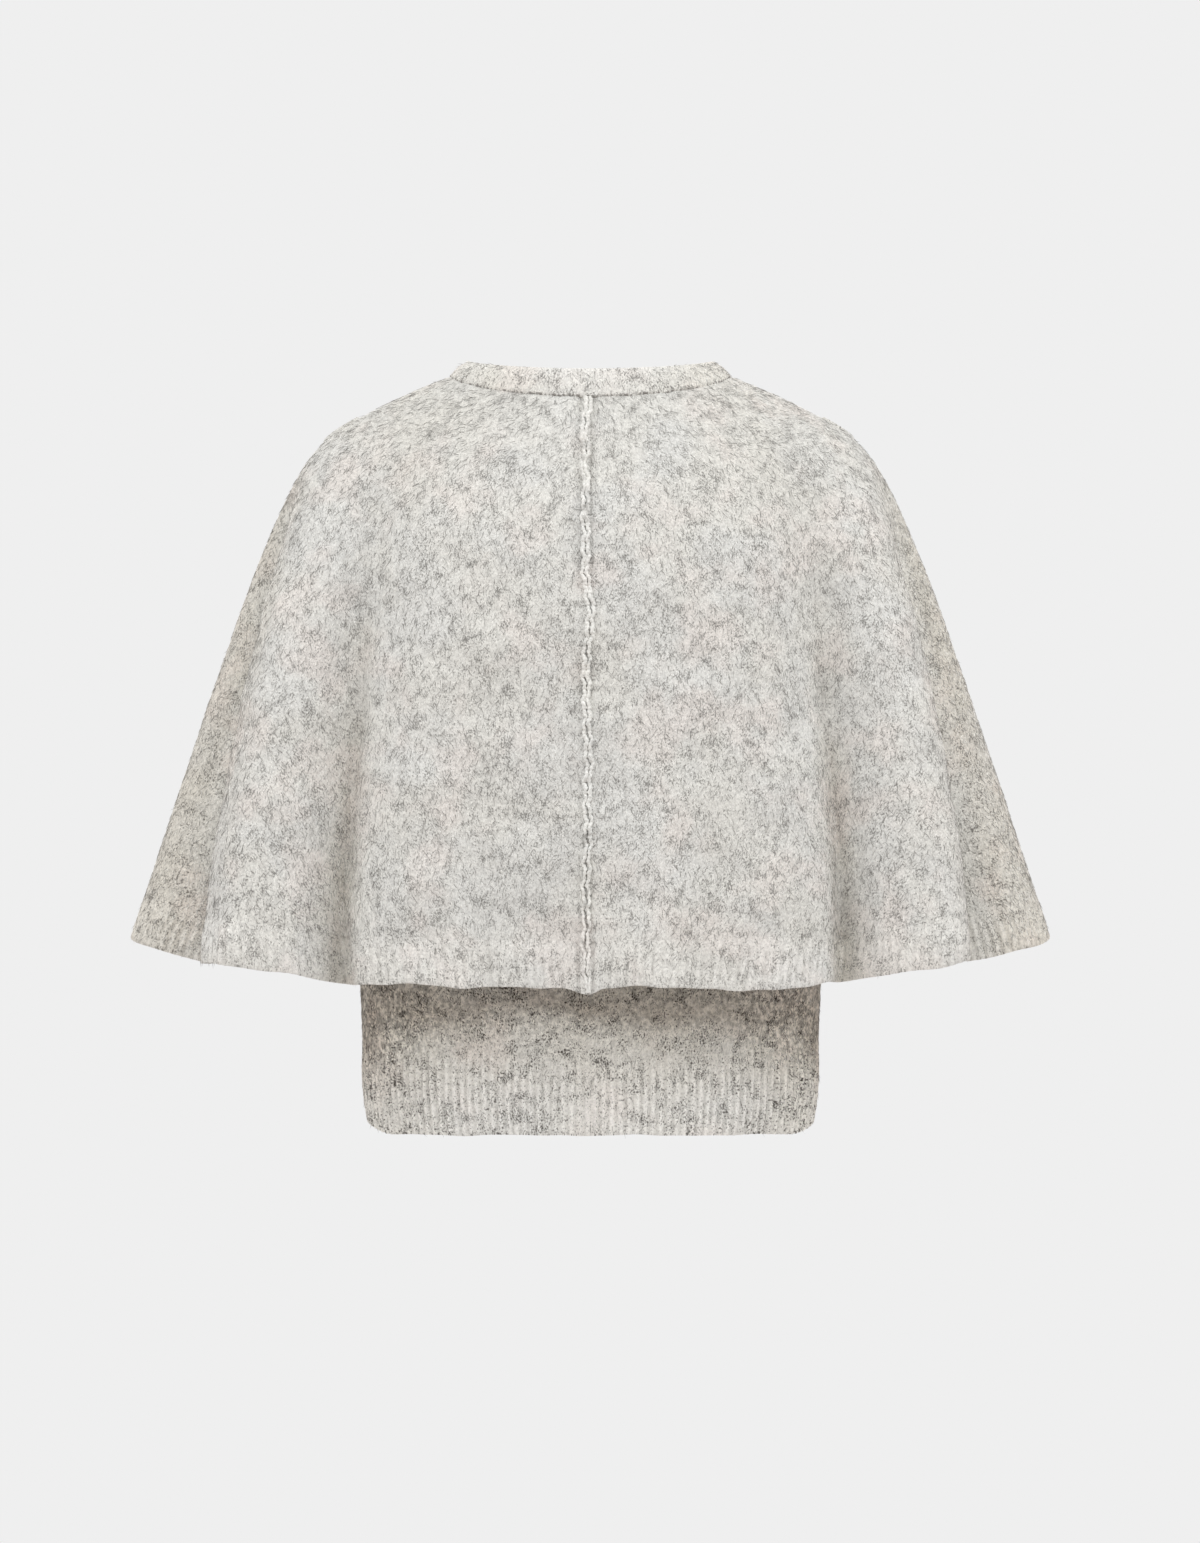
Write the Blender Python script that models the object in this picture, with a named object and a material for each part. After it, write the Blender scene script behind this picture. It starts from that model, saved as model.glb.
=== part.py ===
"""A knitted cardigan with a shoulder cape, hollow and in its worn shape.

Frame: +Z up, the front faces -Y and the wearer's left side is +X. The origin is the
middle of the neckline, at the height of the side neck points, where the wearer's
shoulders hold the garment up.

Three layers of cloth are laid on rings: the cape, the body under it and the neckband
above both. A ring is a soft rectangle between a side point, a centre back point and a
centre front point, and each layer's table has one row for each ring, in millimetres.
Every panel is a wall cut from its layer, trimmed by half the seam gap all round.
"""

import math
from collections import namedtuple

import bmesh
import bpy
import numpy as np

MM = 0.001

# Walls and gaps
CAPE_WALL = 2.4
BODY_WALL = 2.2
SEAM_GAP = 0.4
NECK_STEP = CAPE_WALL + 0.8  # how far the body lies inside the cape at the neck seam
SHOULDER_STEP = CAPE_WALL + 2.4  # and on the shoulders
NECK_SEAM_ROOM = 0.3  # more room under the neckband, where flat facets meet on a curve
NECKBAND_WALL = NECK_STEP + BODY_WALL  # a doubled rib that closes both layers

# Where ribs, armholes and front edges lie, as shares of a layer's length or in mm
CAPE_RIB_TOP = 0.92
BODY_RIB_TOP = 0.885
SHOULDER_TIP = 0.135
UNDERARM = 0.44
ARMHOLE_BITE = 0.31
BAND_HALF_WIDTH = 15.0
CAPE_FRONT_EDGE_NECK = 19.0
CAPE_FRONT_EDGE_HEM = 38.0

# The raised seam down the middle of the cape's back, on each panel's edge
SEAM_ROLL_WIDTH = 5.5
SEAM_ROLL_HEIGHT = 3.0

# Buttons down the front band
BUTTON_COUNT = 7
BUTTON_RADIUS = 7.5
BUTTON_THICKNESS = 3.0
BUTTON_SIDES = 16
BUTTON_CLEARANCE = 0.6  # off the band's middle line, which facets make a little uneven
FIRST_BUTTON = 0.06
LAST_BUTTON = 0.955

# One row for each ring. share runs from 0 at the layer's top edge to 1 at its bottom
# edge, square is the ring's exponent (2 is an ellipse, more is squarer), drop is how
# late its height falls from the side to the middle, and inset is how far inside the
# ring the cloth's outer face lies.
Section = namedtuple(
    "Section", "share side_x side_z back_y back_z front_y front_z square drop inset")

CAPE_SECTIONS = (
    Section(0.00, 115, 0, 75, -24, 80, -85, 2.00, 1.25, 0),
    Section(0.07, 153, -16, 88, -55, 97, -112, 2.00, 1.25, 0),
    Section(0.14, 187, -33, 99, -88, 111, -140, 2.05, 1.25, 0),
    Section(0.20, 213, -49, 107, -118, 122, -165, 2.10, 1.20, 0),
    Section(0.26, 231, -68, 113, -146, 130, -190, 2.15, 1.20, 0),
    Section(0.32, 246, -93, 117, -175, 136, -215, 2.20, 1.20, 0),
    Section(0.42, 270, -147, 122, -222, 142, -255, 2.20, 1.20, 0),
    Section(0.57, 300, -229, 128, -292, 147, -318, 2.25, 1.20, 0),
    Section(0.72, 328, -312, 135, -363, 151, -380, 2.30, 1.15, 0),
    Section(0.86, 355, -394, 142, -430, 155, -438, 2.30, 1.15, 0),
    Section(1.00, 376, -461, 147, -493.5, 158, -497, 2.30, 1.30, 0),
)

BODY_SECTIONS = (
    Section(0.00, 115, 0, 75, -24, 80, -85, 2.00, 1.25, NECK_STEP),
    Section(0.07, 153, -16, 88, -55, 97, -112, 2.00, 1.25, SHOULDER_STEP),
    Section(0.135, 185, -32, 98, -86, 109, -139, 2.05, 1.25, SHOULDER_STEP),
    Section(0.19, 197, -55, 103, -118, 116, -166, 2.20, 1.20, 3.0),
    Section(0.26, 200, -92, 107, -155, 122, -200, 2.35, 1.20, 1.0),
    Section(0.36, 201, -150, 107, -208, 128, -250, 2.50, 1.10, 0),
    Section(0.50, 197, -240, 101, -285, 127, -318, 2.60, 1.00, 0),
    Section(0.66, 192, -355, 97, -378, 120, -400, 2.60, 1.00, 0),
    Section(0.82, 190, -480, 102, -487, 114, -492, 2.70, 1.00, 0),
    Section(0.885, 189.5, -542, 105, -542, 111, -542, 2.90, 1.00, 0),
    Section(1.00, 187, -614.5, 104, -614.5, 108, -614.5, 3.20, 1.00, 0),
)

NECKBAND_SECTIONS = (
    Section(0.00, 100, 11.6, 69, -2, 72, -65, 2.00, 1.25, 0),
    Section(0.50, 108.5, 7, 73, -12.5, 77, -75, 2.00, 1.25, 0),
    Section(1.00, 115, 0, 75, -24, 80, -85, 2.00, 1.25, 0),
)

# The cape's folds. place is the share of the hem's half width, start is where the fold
# begins, the depths are in mm half way down and at the hem (in is negative), and the
# widths are shares of the half width towards the middle and towards the side.
Fold = namedtuple("Fold", "place start mid_depth hem_depth inner_width outer_width")

CAPE_BACK_FOLDS = (
    Fold(0.210, 0.60, -0.5, -4, 0.060, 0.060),
    Fold(0.548, 0.22, -9, -36, 0.034, 0.080),
    Fold(0.700, 0.26, 4, 7, 0.070, 0.070),
    Fold(0.880, 0.40, -6, -30, 0.050, 0.045),
)
CAPE_FRONT_FOLDS = (
    Fold(0.300, 0.55, -1, -9, 0.070, 0.060),
    Fold(0.500, 0.24, -7, -30, 0.040, 0.080),
    Fold(0.670, 0.28, 3, 8, 0.070, 0.070),
    Fold(0.850, 0.45, -4, -24, 0.050, 0.050),
)
RIGHT_FOLD_SHIFT = 0.010  # the right side's folds lie a little further out
RIGHT_FOLD_DEPTH = 0.92  # and are a little shallower

Layer = namedtuple("Layer", "sections back_folds front_folds flares")
CAPE = Layer(CAPE_SECTIONS, CAPE_BACK_FOLDS, CAPE_FRONT_FOLDS, True)
BODY = Layer(BODY_SECTIONS, (), (), False)
NECKBAND = Layer(NECKBAND_SECTIONS, (), (), False)

HEM_SQUARE = 2.3  # spaces the columns round a quarter
SHOULDER_LINE = 0.14  # the share down to which the cape's lines crowd to the side
FLARE_START = 0.25  # and the share from where they spread again
STEP = 1e-3  # for slopes by differences

# Rows of points down each layer's panels, as shares of its length
CAPE_PANEL_ROWS = (0, 0.06, 0.12, 0.18, 0.24, 0.31, 0.40, 0.51, 0.62, 0.73, 0.83, CAPE_RIB_TOP)
BODY_PANEL_ROWS = (0, 0.07, SHOULDER_TIP, 0.155, 0.19, 0.25, 0.32, 0.38, 0.42, UNDERARM,
                   0.55, 0.70, BODY_RIB_TOP)
BAND_ROWS = (0.03, 0.08, 0.135, 0.19, 0.26, 0.34, 0.43, 0.53, 0.64, 0.76, BODY_RIB_TOP, 1.0)

# Facets round a quarter of each layer
CAPE_STEPS = 11
BODY_STEPS = 11
NECKBAND_STEPS = 15

# A column is a line down a layer: which half and side it is on, and a function that
# gives its place round the quarter, 0 at the middle and 1 at the side, at each share.
Column = namedtuple("Column", "half side at")
LEFT, RIGHT = 1, -1


def smooth_column(sections, name, share):
    """A table's column at any share, as a smooth curve through its rows."""
    shares = np.array([row.share for row in sections])
    values = np.array([getattr(row, name) for row in sections], dtype=float)
    slopes = np.gradient(values, shares)
    share = min(max(share, shares[0]), shares[-1])
    i = min(int(np.searchsorted(shares, share, side="right")) - 1, len(shares) - 2)
    length = shares[i + 1] - shares[i]
    t = (share - shares[i]) / length
    return (values[i] * (1 + 2 * t) * (1 - t) ** 2 + values[i + 1] * t * t * (3 - 2 * t)
            + length * (slopes[i] * t * (1 - t) ** 2 - slopes[i + 1] * t * t * (1 - t)))


def quarter_place(share_of_width):
    """The place round the hem's quarter at a share of its half width."""
    return math.asin(share_of_width ** (HEM_SQUARE / 2)) / (math.pi / 2)


def spread(share):
    """1 at the neck and the hem, and 0 where the cape's lines crowd to the side."""
    return max(1 - share / SHOULDER_LINE, (share - FLARE_START) / (1 - FLARE_START), 0.0)


def width_share(layer, at, share):
    """The share of a ring's half width that a column's place has reached."""
    at_hem = math.sin(min(max(at, 0.0), 1.0) * math.pi / 2) ** (2 / HEM_SQUARE)
    if not layer.flares:
        return at_hem
    crowded = 1 - (1 - at_hem) ** 2
    return crowded + (at_hem - crowded) * spread(share)


def place_of(layer, x, share):
    """The place round the quarter where a ring's half width is x."""
    reached = x / smooth_column(layer.sections, "side_x", share)
    t = spread(share)
    if layer.flares and t < 1:
        half_sum = (2 - t) / (2 * (1 - t))
        reached = half_sum - math.sqrt(half_sum ** 2 - reached / (1 - t))
    return quarter_place(reached)


def ring_point(layer, half, at, share):
    """A point of the plain ring, on the left side."""
    reached = width_share(layer, at, share)
    side_x, side_z, middle_y, middle_z, square, drop = (
        smooth_column(layer.sections, name, share)
        for name in ("side_x", "side_z", half + "_y", half + "_z", "square", "drop"))
    rest = max(1 - reached ** square, 0.0)
    y = middle_y * rest ** (1 / square)
    z = side_z + (middle_z - side_z) * rest ** (drop / 2)
    return np.array([side_x * reached, y if half == "back" else -y, z])


def slope_normal(point, half, at, share):
    """The outward direction of a surface, from its slopes."""
    if at > 1 - STEP:
        down = point(half, 1.0, min(share + STEP, 1.0)) - point(half, 1.0, max(share - STEP, 0.0))
        normal = np.array([-down[2], 0.0, down[0]])
        return normal / np.linalg.norm(normal)
    low, high = max(at - STEP, 0.0), at + STEP
    across = point(half, high, share) - point(half, low, share)
    down = point(half, at, min(share + STEP, 1.0)) - point(half, at, max(share - STEP, 0.0))
    normal = np.cross(across, down) * (1 if half == "back" else -1)
    return normal / np.linalg.norm(normal)


def ring_normal(layer, half, at, share):
    """The outward direction of the plain ring."""
    return slope_normal(lambda h, a, s: ring_point(layer, h, a, s), half, at, share)


def fold_depth(layer, half, side, at, share):
    """How far the folds move the cloth out at a place."""
    folds = layer.back_folds if half == "back" else layer.front_folds
    at_hem = math.sin(min(at, 1.0) * math.pi / 2) ** (2 / HEM_SQUARE)
    total = 0.0
    for fold in folds:
        place = fold.place + (RIGHT_FOLD_SHIFT if side == RIGHT else 0.0)
        width = fold.inner_width if at_hem < place else fold.outer_width
        depth = np.interp(share, (fold.start, max(0.5, fold.start + 0.01), 1.0),
                          (0.0, fold.mid_depth, fold.hem_depth))
        total += depth * math.exp(-((at_hem - place) / width) ** 2)
    fade = min((1 - at_hem) / 0.03, 1.0)
    return total * fade * (RIGHT_FOLD_DEPTH if side == RIGHT else 1.0)


def seam_roll(layer, half, x):
    """How far the cape's raised centre seam stands out at a distance from the middle."""
    if layer is not CAPE or half != "back" or x >= SEAM_ROLL_WIDTH:
        return 0.0
    return SEAM_ROLL_HEIGHT * math.sin(math.pi * (0.22 + 0.78 * x / SEAM_ROLL_WIDTH))


def cloth_point(layer, half, side, at, share):
    """A point of the cloth's outer face with its folds, on the left side."""
    point = ring_point(layer, half, at, share)
    out = (fold_depth(layer, half, side, at, share) + seam_roll(layer, half, point[0])
           - smooth_column(layer.sections, "inset", share))
    if out == 0.0:
        return point
    if is_neck_seam(layer, share):
        return point + out * neck_seam_normal(half, point[0])
    return point + out * ring_normal(layer, half, at, share)


def is_neck_seam(layer, share):
    """Whether this is the ring where the neckband meets the layers."""
    return share == (1.0 if layer is NECKBAND else 0.0)


def neck_seam_normal(half, x):
    """The direction of the neck seam's joint faces, half way between its two sides."""
    above = ring_normal(NECKBAND, half, place_of(NECKBAND, x, 1.0), 1.0)
    below = ring_normal(BODY, half, place_of(BODY, x, 0.0), 0.0)
    total = above + below
    return total / np.linalg.norm(total)


def cloth_normal(layer, half, side, at, share):
    """The direction of the wall's thickness, on the left side."""
    if is_neck_seam(layer, share):
        return neck_seam_normal(half, ring_point(layer, half, at, share)[0])
    return slope_normal(lambda h, a, s: cloth_point(layer, h, side, a, s), half, at, share)


def mirrored(vector, side):
    """A left side vector on the side asked for."""
    return vector * np.array([side, 1.0, 1.0])


def cloth_faces(rows, columns, wall, depth=0.0):
    """Outer and inner grids of points for a wall, one row for each (layer, share)."""
    outer = np.zeros((len(rows), len(columns), 3))
    inner = np.zeros_like(outer)
    for i, (layer, share) in enumerate(rows):
        for j, column in enumerate(columns):
            at = column.at(layer, share)
            point = cloth_point(layer, column.half, column.side, at, share)
            normal = cloth_normal(layer, column.half, column.side, at, share)
            outer[i, j] = mirrored(point - depth * normal, column.side)
            inner[i, j] = mirrored(point - (depth + wall) * normal, column.side)
    return trimmed(outer), trimmed(inner)


def unit(vectors):
    """Each vector of a grid, one long."""
    return vectors / np.linalg.norm(vectors, axis=-1, keepdims=True)


def trimmed(grid):
    """The grid with its four edges moved in by half the seam gap."""
    result = grid.copy()
    for edge, next_in in (((0,), (1,)), ((-1,), (-2,))):
        for axis in (0, 1):
            here = np.take(result, edge, axis=axis)
            moved = here + unit(np.take(result, next_in, axis=axis) - here) * SEAM_GAP / 2
            if axis == 0:
                result[edge[0]] = moved[0]
            else:
                result[:, edge[0]] = moved[:, 0]
    return result


def wall_object(name, outer, inner, material):
    """A closed solid between an outer and an inner grid of points."""
    rows, columns = outer.shape[:2]
    mesh = bpy.data.meshes.new(name)
    bm = bmesh.new()
    faces_out = [[bm.verts.new(outer[i, j] * MM) for j in range(columns)] for i in range(rows)]
    faces_in = [[bm.verts.new(inner[i, j] * MM) for j in range(columns)] for i in range(rows)]
    for i in range(rows - 1):
        for j in range(columns - 1):
            for grid in (faces_out, faces_in):
                bm.faces.new((grid[i][j], grid[i + 1][j], grid[i + 1][j + 1], grid[i][j + 1]))
    border = ([(0, j) for j in range(columns)] + [(i, columns - 1) for i in range(1, rows)]
              + [(rows - 1, j) for j in range(columns - 2, -1, -1)]
              + [(i, 0) for i in range(rows - 2, 0, -1)])
    for (i, j), (k, m) in zip(border, border[1:] + border[:1]):
        bm.faces.new((faces_out[i][j], faces_out[k][m], faces_in[k][m], faces_in[i][j]))
    bmesh.ops.recalc_face_normals(bm, faces=bm.faces)
    bm.to_mesh(mesh)
    bm.free()
    mesh.materials.append(material)
    mesh.shade_smooth()
    mesh.set_sharp_from_angle(angle=math.radians(50))
    return add_object(name, mesh)


def add_object(name, mesh):
    """An object in the scene, held by the garment's empty."""
    item = bpy.data.objects.new(name, mesh)
    bpy.context.scene.collection.objects.link(item)
    item.parent = bpy.data.objects["cardigan"]
    return item


def linear(hex_colour):
    """A Blender colour from an sRGB hex code."""
    channels = [int(hex_colour[i:i + 2], 16) / 255 for i in (1, 3, 5)]
    return tuple(c / 12.92 if c <= 0.04045 else ((c + 0.055) / 1.055) ** 2.4
                 for c in channels) + (1.0,)


def make_material(name, colour, roughness):
    """A plain non-metallic surface."""
    material = bpy.data.materials.new(name)
    material.use_nodes = True
    shader = material.node_tree.nodes["Principled BSDF"]
    shader.inputs["Base Color"].default_value = linear(colour)
    shader.inputs["Roughness"].default_value = roughness
    shader.inputs["Metallic"].default_value = 0.0
    return material


def fixed(at):
    """A column place that is the same at every share."""
    return lambda layer, share: at


def at_width(x):
    """A column place at a fixed distance from the middle."""
    return lambda layer, share: place_of(layer, x, share)


def cape_front_edge(layer, share):
    """The place of the cape's front edge."""
    x = CAPE_FRONT_EDGE_NECK + (CAPE_FRONT_EDGE_HEM - CAPE_FRONT_EDGE_NECK) * share
    return place_of(layer, x, share)


def body_side_edge(layer, share):
    """The place of the body's side edge, cut in for the armhole."""
    down = (share - SHOULDER_TIP) / (UNDERARM - SHOULDER_TIP)
    if not 0 < down < 1:
        return 1.0
    return 1.0 - ARMHOLE_BITE * math.sin(math.pi * down) ** 0.6


def between(low, high, part):
    """A column place part of the way from one edge function to another."""
    return lambda layer, share: (low(layer, share) * (1 - part) + high(layer, share) * part)


def places_with_folds(folds):
    """Column places evenly round a quarter, with each fold's own in place of those near."""
    at_folds = []
    for fold in folds:
        for share in (fold.place - fold.inner_width, fold.place, fold.place + fold.outer_width):
            at_folds.append(quarter_place(share))
    step = 1 / CAPE_STEPS
    even = [i * step for i in range(1, CAPE_STEPS)]
    even = [at for at in even if min(abs(at - other) for other in at_folds) > 0.4 * step]
    places = [0.0]
    for at in sorted(even + at_folds):
        if at - places[-1] > 0.2 * step:
            places.append(at)
    return places + [1.0]


def make_cape(knit, rib):
    """The cape's four panels and the rib along each one's hem."""
    panel_rows = [(CAPE, share) for share in CAPE_PANEL_ROWS]
    rib_rows = [(CAPE, share) for share in (CAPE_RIB_TOP, 1.0)]
    back_places = places_with_folds(CAPE_BACK_FOLDS)[1:]
    front_places = places_with_folds(CAPE_FRONT_FOLDS)
    for side, side_name in ((LEFT, "left"), (RIGHT, "right")):
        seam = [Column("back", side, at_width(SEAM_ROLL_WIDTH * part))
                for part in (0.0, 0.36, 1.0)]
        back = seam + [Column("back", side, fixed(at)) for at in back_places]
        front = [Column("front", side, between(cape_front_edge, fixed(1.0), at))
                 for at in front_places]
        for half, columns in (("back", back), ("front", front)):
            outer, inner = cloth_faces(panel_rows, columns, CAPE_WALL)
            wall_object(f"cape_{half}_{side_name}", outer, inner, knit)
            outer, inner = cloth_faces(rib_rows, columns, CAPE_WALL)
            wall_object(f"cape_rib_{half}_{side_name}", outer, inner, rib)


def make_body(knit, rib):
    """The body's back, its two fronts and the rib along each one's hem."""
    panel_rows = [(BODY, share) for share in BODY_PANEL_ROWS]
    rib_rows = [(BODY, share) for share in (BODY_RIB_TOP, 0.94, 1.0)]
    parts = [i / BODY_STEPS for i in range(BODY_STEPS + 1)]
    centre = fixed(0.0)
    back = [Column("back", RIGHT, between(centre, body_side_edge, part))
            for part in reversed(parts[1:])]
    back += [Column("back", LEFT, between(centre, body_side_edge, part)) for part in parts]
    pieces = [("back", back)]
    for side, side_name in ((LEFT, "left"), (RIGHT, "right")):
        columns = [Column("front", side, between(at_width(BAND_HALF_WIDTH), body_side_edge, part))
                   for part in parts]
        pieces.append((f"front_{side_name}", columns))
    for name, columns in pieces:
        outer, inner = cloth_faces(panel_rows, columns, BODY_WALL)
        wall_object(f"body_{name}", outer, inner, knit)
        outer, inner = cloth_faces(rib_rows, columns, BODY_WALL)
        wall_object(f"hem_rib_{name}", outer, inner, rib)


def make_neckband(rib):
    """The ribbed neckband, open at the centre front for the bands."""
    quarter = [i / NECKBAND_STEPS for i in range(NECKBAND_STEPS + 1)]
    front = [between(at_width(BAND_HALF_WIDTH), fixed(1.0), part) for part in quarter[:-1]]
    columns = [Column("front", RIGHT, at) for at in front]
    columns += [Column("back", RIGHT, fixed(part)) for part in reversed(quarter)]
    columns += [Column("back", LEFT, fixed(part)) for part in quarter[1:]]
    columns += [Column("front", LEFT, at) for at in reversed(front)]
    rows = [(NECKBAND, share) for share in (0.0, 0.5, 1.0)]
    outer, inner = cloth_faces(rows, columns, NECKBAND_WALL)
    for grid in (outer, inner):
        grid[-1] += NECK_SEAM_ROOM * unit(grid[-2] - grid[-1])
    wall_object("neckband", outer, inner, rib)


def front_band_rows():
    """The rings that the front bands cross, from the neckband's top to the hem."""
    return [(NECKBAND, 0.0), (NECKBAND, 0.6)] + [(BODY, share) for share in BAND_ROWS]


def make_front_bands(rib):
    """The band with buttonholes, on the right front, over the band with buttons."""
    half_steps = (1.0, 0.34)
    columns = [Column("front", RIGHT, at_width(BAND_HALF_WIDTH * part)) for part in half_steps]
    columns += [Column("front", LEFT, at_width(BAND_HALF_WIDTH * part))
                for part in reversed(half_steps)]
    for name, depth in (("buttonhole_band", 0.0), ("button_band", BODY_WALL + SEAM_GAP)):
        outer, inner = cloth_faces(front_band_rows(), columns, BODY_WALL, depth)
        wall_object(name, outer, inner, rib)


def make_buttons(material):
    """Round buttons, fastened, in a row down the front band."""
    bm = bmesh.new()
    bmesh.ops.create_cone(
        bm, cap_ends=True, segments=BUTTON_SIDES, radius1=BUTTON_RADIUS * MM,
        radius2=BUTTON_RADIUS * MM, depth=BUTTON_THICKNESS * MM)
    mesh = bpy.data.meshes.new("button")
    bm.to_mesh(mesh)
    bm.free()
    mesh.materials.append(material)
    mesh.shade_smooth()
    mesh.set_sharp_from_angle(angle=math.radians(50))
    lift = BUTTON_CLEARANCE + BUTTON_THICKNESS / 2
    for i in range(BUTTON_COUNT):
        share = FIRST_BUTTON + (LAST_BUTTON - FIRST_BUTTON) * i / (BUTTON_COUNT - 1)
        point = cloth_point(BODY, "front", LEFT, 0.0, share)
        normal = cloth_normal(BODY, "front", LEFT, 0.0, share)
        button = add_object(f"button_{i + 1}", mesh)
        button.location = (point + normal * lift) * MM
        button.rotation_euler = (math.atan2(-normal[1], normal[2]), 0.0, 0.0)


def main():
    for item in list(bpy.data.objects):
        bpy.data.objects.remove(item)
    holder = bpy.data.objects.new("cardigan", None)
    bpy.context.scene.collection.objects.link(holder)
    knit = make_material("brushed_knit", "#C8C5BF", 0.95)
    rib = make_material("rib_knit", "#CFCBC3", 0.95)
    shell = make_material("button_shell", "#D8D2C6", 0.35)
    make_neckband(rib)
    make_cape(knit, rib)
    make_body(knit, rib)
    make_front_bands(rib)
    make_buttons(shell)


main()
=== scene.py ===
# %% [markdown]
# # A knitted cardigan with a shoulder cape
#
# The garment has three layers of cloth. A wide cape covers the shoulders and hangs open at
# the front, a straight body buttons up under it, and a ribbed neckband joins the two. All of
# it is a grey and cream melange wool, knitted and then brushed until it is soft and hairy.
#
# The imported model gives each panel as a plain wall. This script loads that model as a fixed
# frame, then makes the cloth again as fine shells on the same form, with their ribs, seam,
# stitches, buttons and brushed nap.

# %% Load the frame
import math
from collections import namedtuple

import bmesh
import bpy
import numpy as np
from mathutils import Matrix, Vector


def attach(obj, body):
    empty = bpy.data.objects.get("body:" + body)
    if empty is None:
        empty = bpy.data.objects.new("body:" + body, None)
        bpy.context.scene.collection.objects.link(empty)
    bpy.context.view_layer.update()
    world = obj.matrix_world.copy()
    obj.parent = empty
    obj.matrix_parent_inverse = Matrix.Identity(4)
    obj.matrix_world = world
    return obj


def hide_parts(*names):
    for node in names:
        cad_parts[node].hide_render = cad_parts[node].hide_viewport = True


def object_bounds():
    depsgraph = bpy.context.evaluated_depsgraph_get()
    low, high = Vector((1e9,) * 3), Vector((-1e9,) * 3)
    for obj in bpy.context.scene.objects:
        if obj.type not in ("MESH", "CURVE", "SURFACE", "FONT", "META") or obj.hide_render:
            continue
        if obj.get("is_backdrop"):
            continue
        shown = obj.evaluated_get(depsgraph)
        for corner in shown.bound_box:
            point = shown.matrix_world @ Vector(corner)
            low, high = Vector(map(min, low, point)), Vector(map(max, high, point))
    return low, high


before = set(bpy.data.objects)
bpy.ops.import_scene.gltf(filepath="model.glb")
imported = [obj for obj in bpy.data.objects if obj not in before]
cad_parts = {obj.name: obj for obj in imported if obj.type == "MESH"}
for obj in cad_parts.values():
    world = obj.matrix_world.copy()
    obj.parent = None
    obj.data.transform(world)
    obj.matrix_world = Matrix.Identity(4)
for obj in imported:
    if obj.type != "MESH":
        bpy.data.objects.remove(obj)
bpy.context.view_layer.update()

MM = 0.001
ROOT = "root"
LEFT, RIGHT = 1, -1
BACK, FRONT = 1, -1


# %% [markdown]
# ## The shape of the cloth
#
# Worn cloth has a form that can be written as rings. Each ring is a soft rectangle that goes
# through a side point, a centre back point and a centre front point, and each layer has a
# short table with one row for each ring. The rows give the garment's outline from the back,
# the side and above. The hanging folds are added to the rings as soft troughs and ridges,
# each with its own place, start, depth and width, so that no two are alike.
#
# Cloth simulation could drape a flat cut instead, but the outline would then be what falls
# out of the solver. The rule keeps the true sizes, and it is the same as the frame's own.

# %% Wall thicknesses and the tables of rings, in millimetres
CAPE_WALL = 2.4
BODY_WALL = 2.2
NECK_STEP = CAPE_WALL + 0.8  # how far the body lies inside the cape at the neck seam
SHOULDER_STEP = CAPE_WALL + 2.4  # and on the shoulders
NECKBAND_WALL = NECK_STEP + BODY_WALL  # a doubled rib that closes both layers

Section = namedtuple(
    "Section", "share side_x side_z back_y back_z front_y front_z square drop inset")


def table(kind, *rows):
    """A table from its rows, each of which becomes a named tuple."""
    return tuple(kind(*row) for row in rows)


CAPE_SECTIONS = table(
    Section,
    (0.00, 115, 0, 75, -24, 80, -85, 2.00, 1.25, 0),
    (0.07, 153, -16, 88, -55, 97, -112, 2.00, 1.25, 0),
    (0.14, 187, -33, 99, -88, 111, -140, 2.05, 1.25, 0),
    (0.20, 213, -49, 107, -118, 122, -165, 2.10, 1.20, 0),
    (0.26, 231, -68, 113, -146, 130, -190, 2.15, 1.20, 0),
    (0.32, 246, -93, 117, -175, 136, -215, 2.20, 1.20, 0),
    (0.42, 270, -147, 122, -222, 142, -255, 2.20, 1.20, 0),
    (0.57, 300, -229, 128, -292, 147, -318, 2.25, 1.20, 0),
    (0.72, 328, -312, 135, -363, 151, -380, 2.30, 1.15, 0),
    (0.86, 355, -394, 142, -430, 155, -438, 2.30, 1.15, 0),
    (1.00, 376, -458.5, 147, -493.5, 158, -497, 2.30, 1.45, 0),
)
BODY_SECTIONS = table(
    Section,
    (0.00, 115, 0, 75, -24, 80, -85, 2.00, 1.25, NECK_STEP),
    (0.07, 153, -16, 88, -55, 97, -112, 2.00, 1.25, SHOULDER_STEP),
    (0.135, 185, -32, 98, -86, 109, -139, 2.05, 1.25, SHOULDER_STEP),
    (0.19, 197, -55, 103, -118, 116, -166, 2.20, 1.20, 3.0),
    (0.26, 200, -92, 107, -155, 122, -200, 2.35, 1.20, 1.0),
    (0.36, 201, -150, 107, -208, 128, -250, 2.50, 1.10, 0),
    (0.50, 197, -240, 101, -285, 127, -318, 2.60, 1.00, 0),
    (0.66, 192, -355, 97, -378, 120, -400, 2.25, 1.00, 0),
    (0.82, 190, -480, 102, -487, 114, -492, 2.05, 1.00, 0),
    (0.885, 187.5, -542, 105, -542, 111, -542, 2.00, 1.00, 0),
    (0.975, 185.0, -603.0, 104, -597.5, 108, -597.5, 2.00, 1.30, 0),
    (1.00, 182.5, -619.5, 104, -612.8, 108, -612.8, 2.05, 1.30, 0),
)
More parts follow.
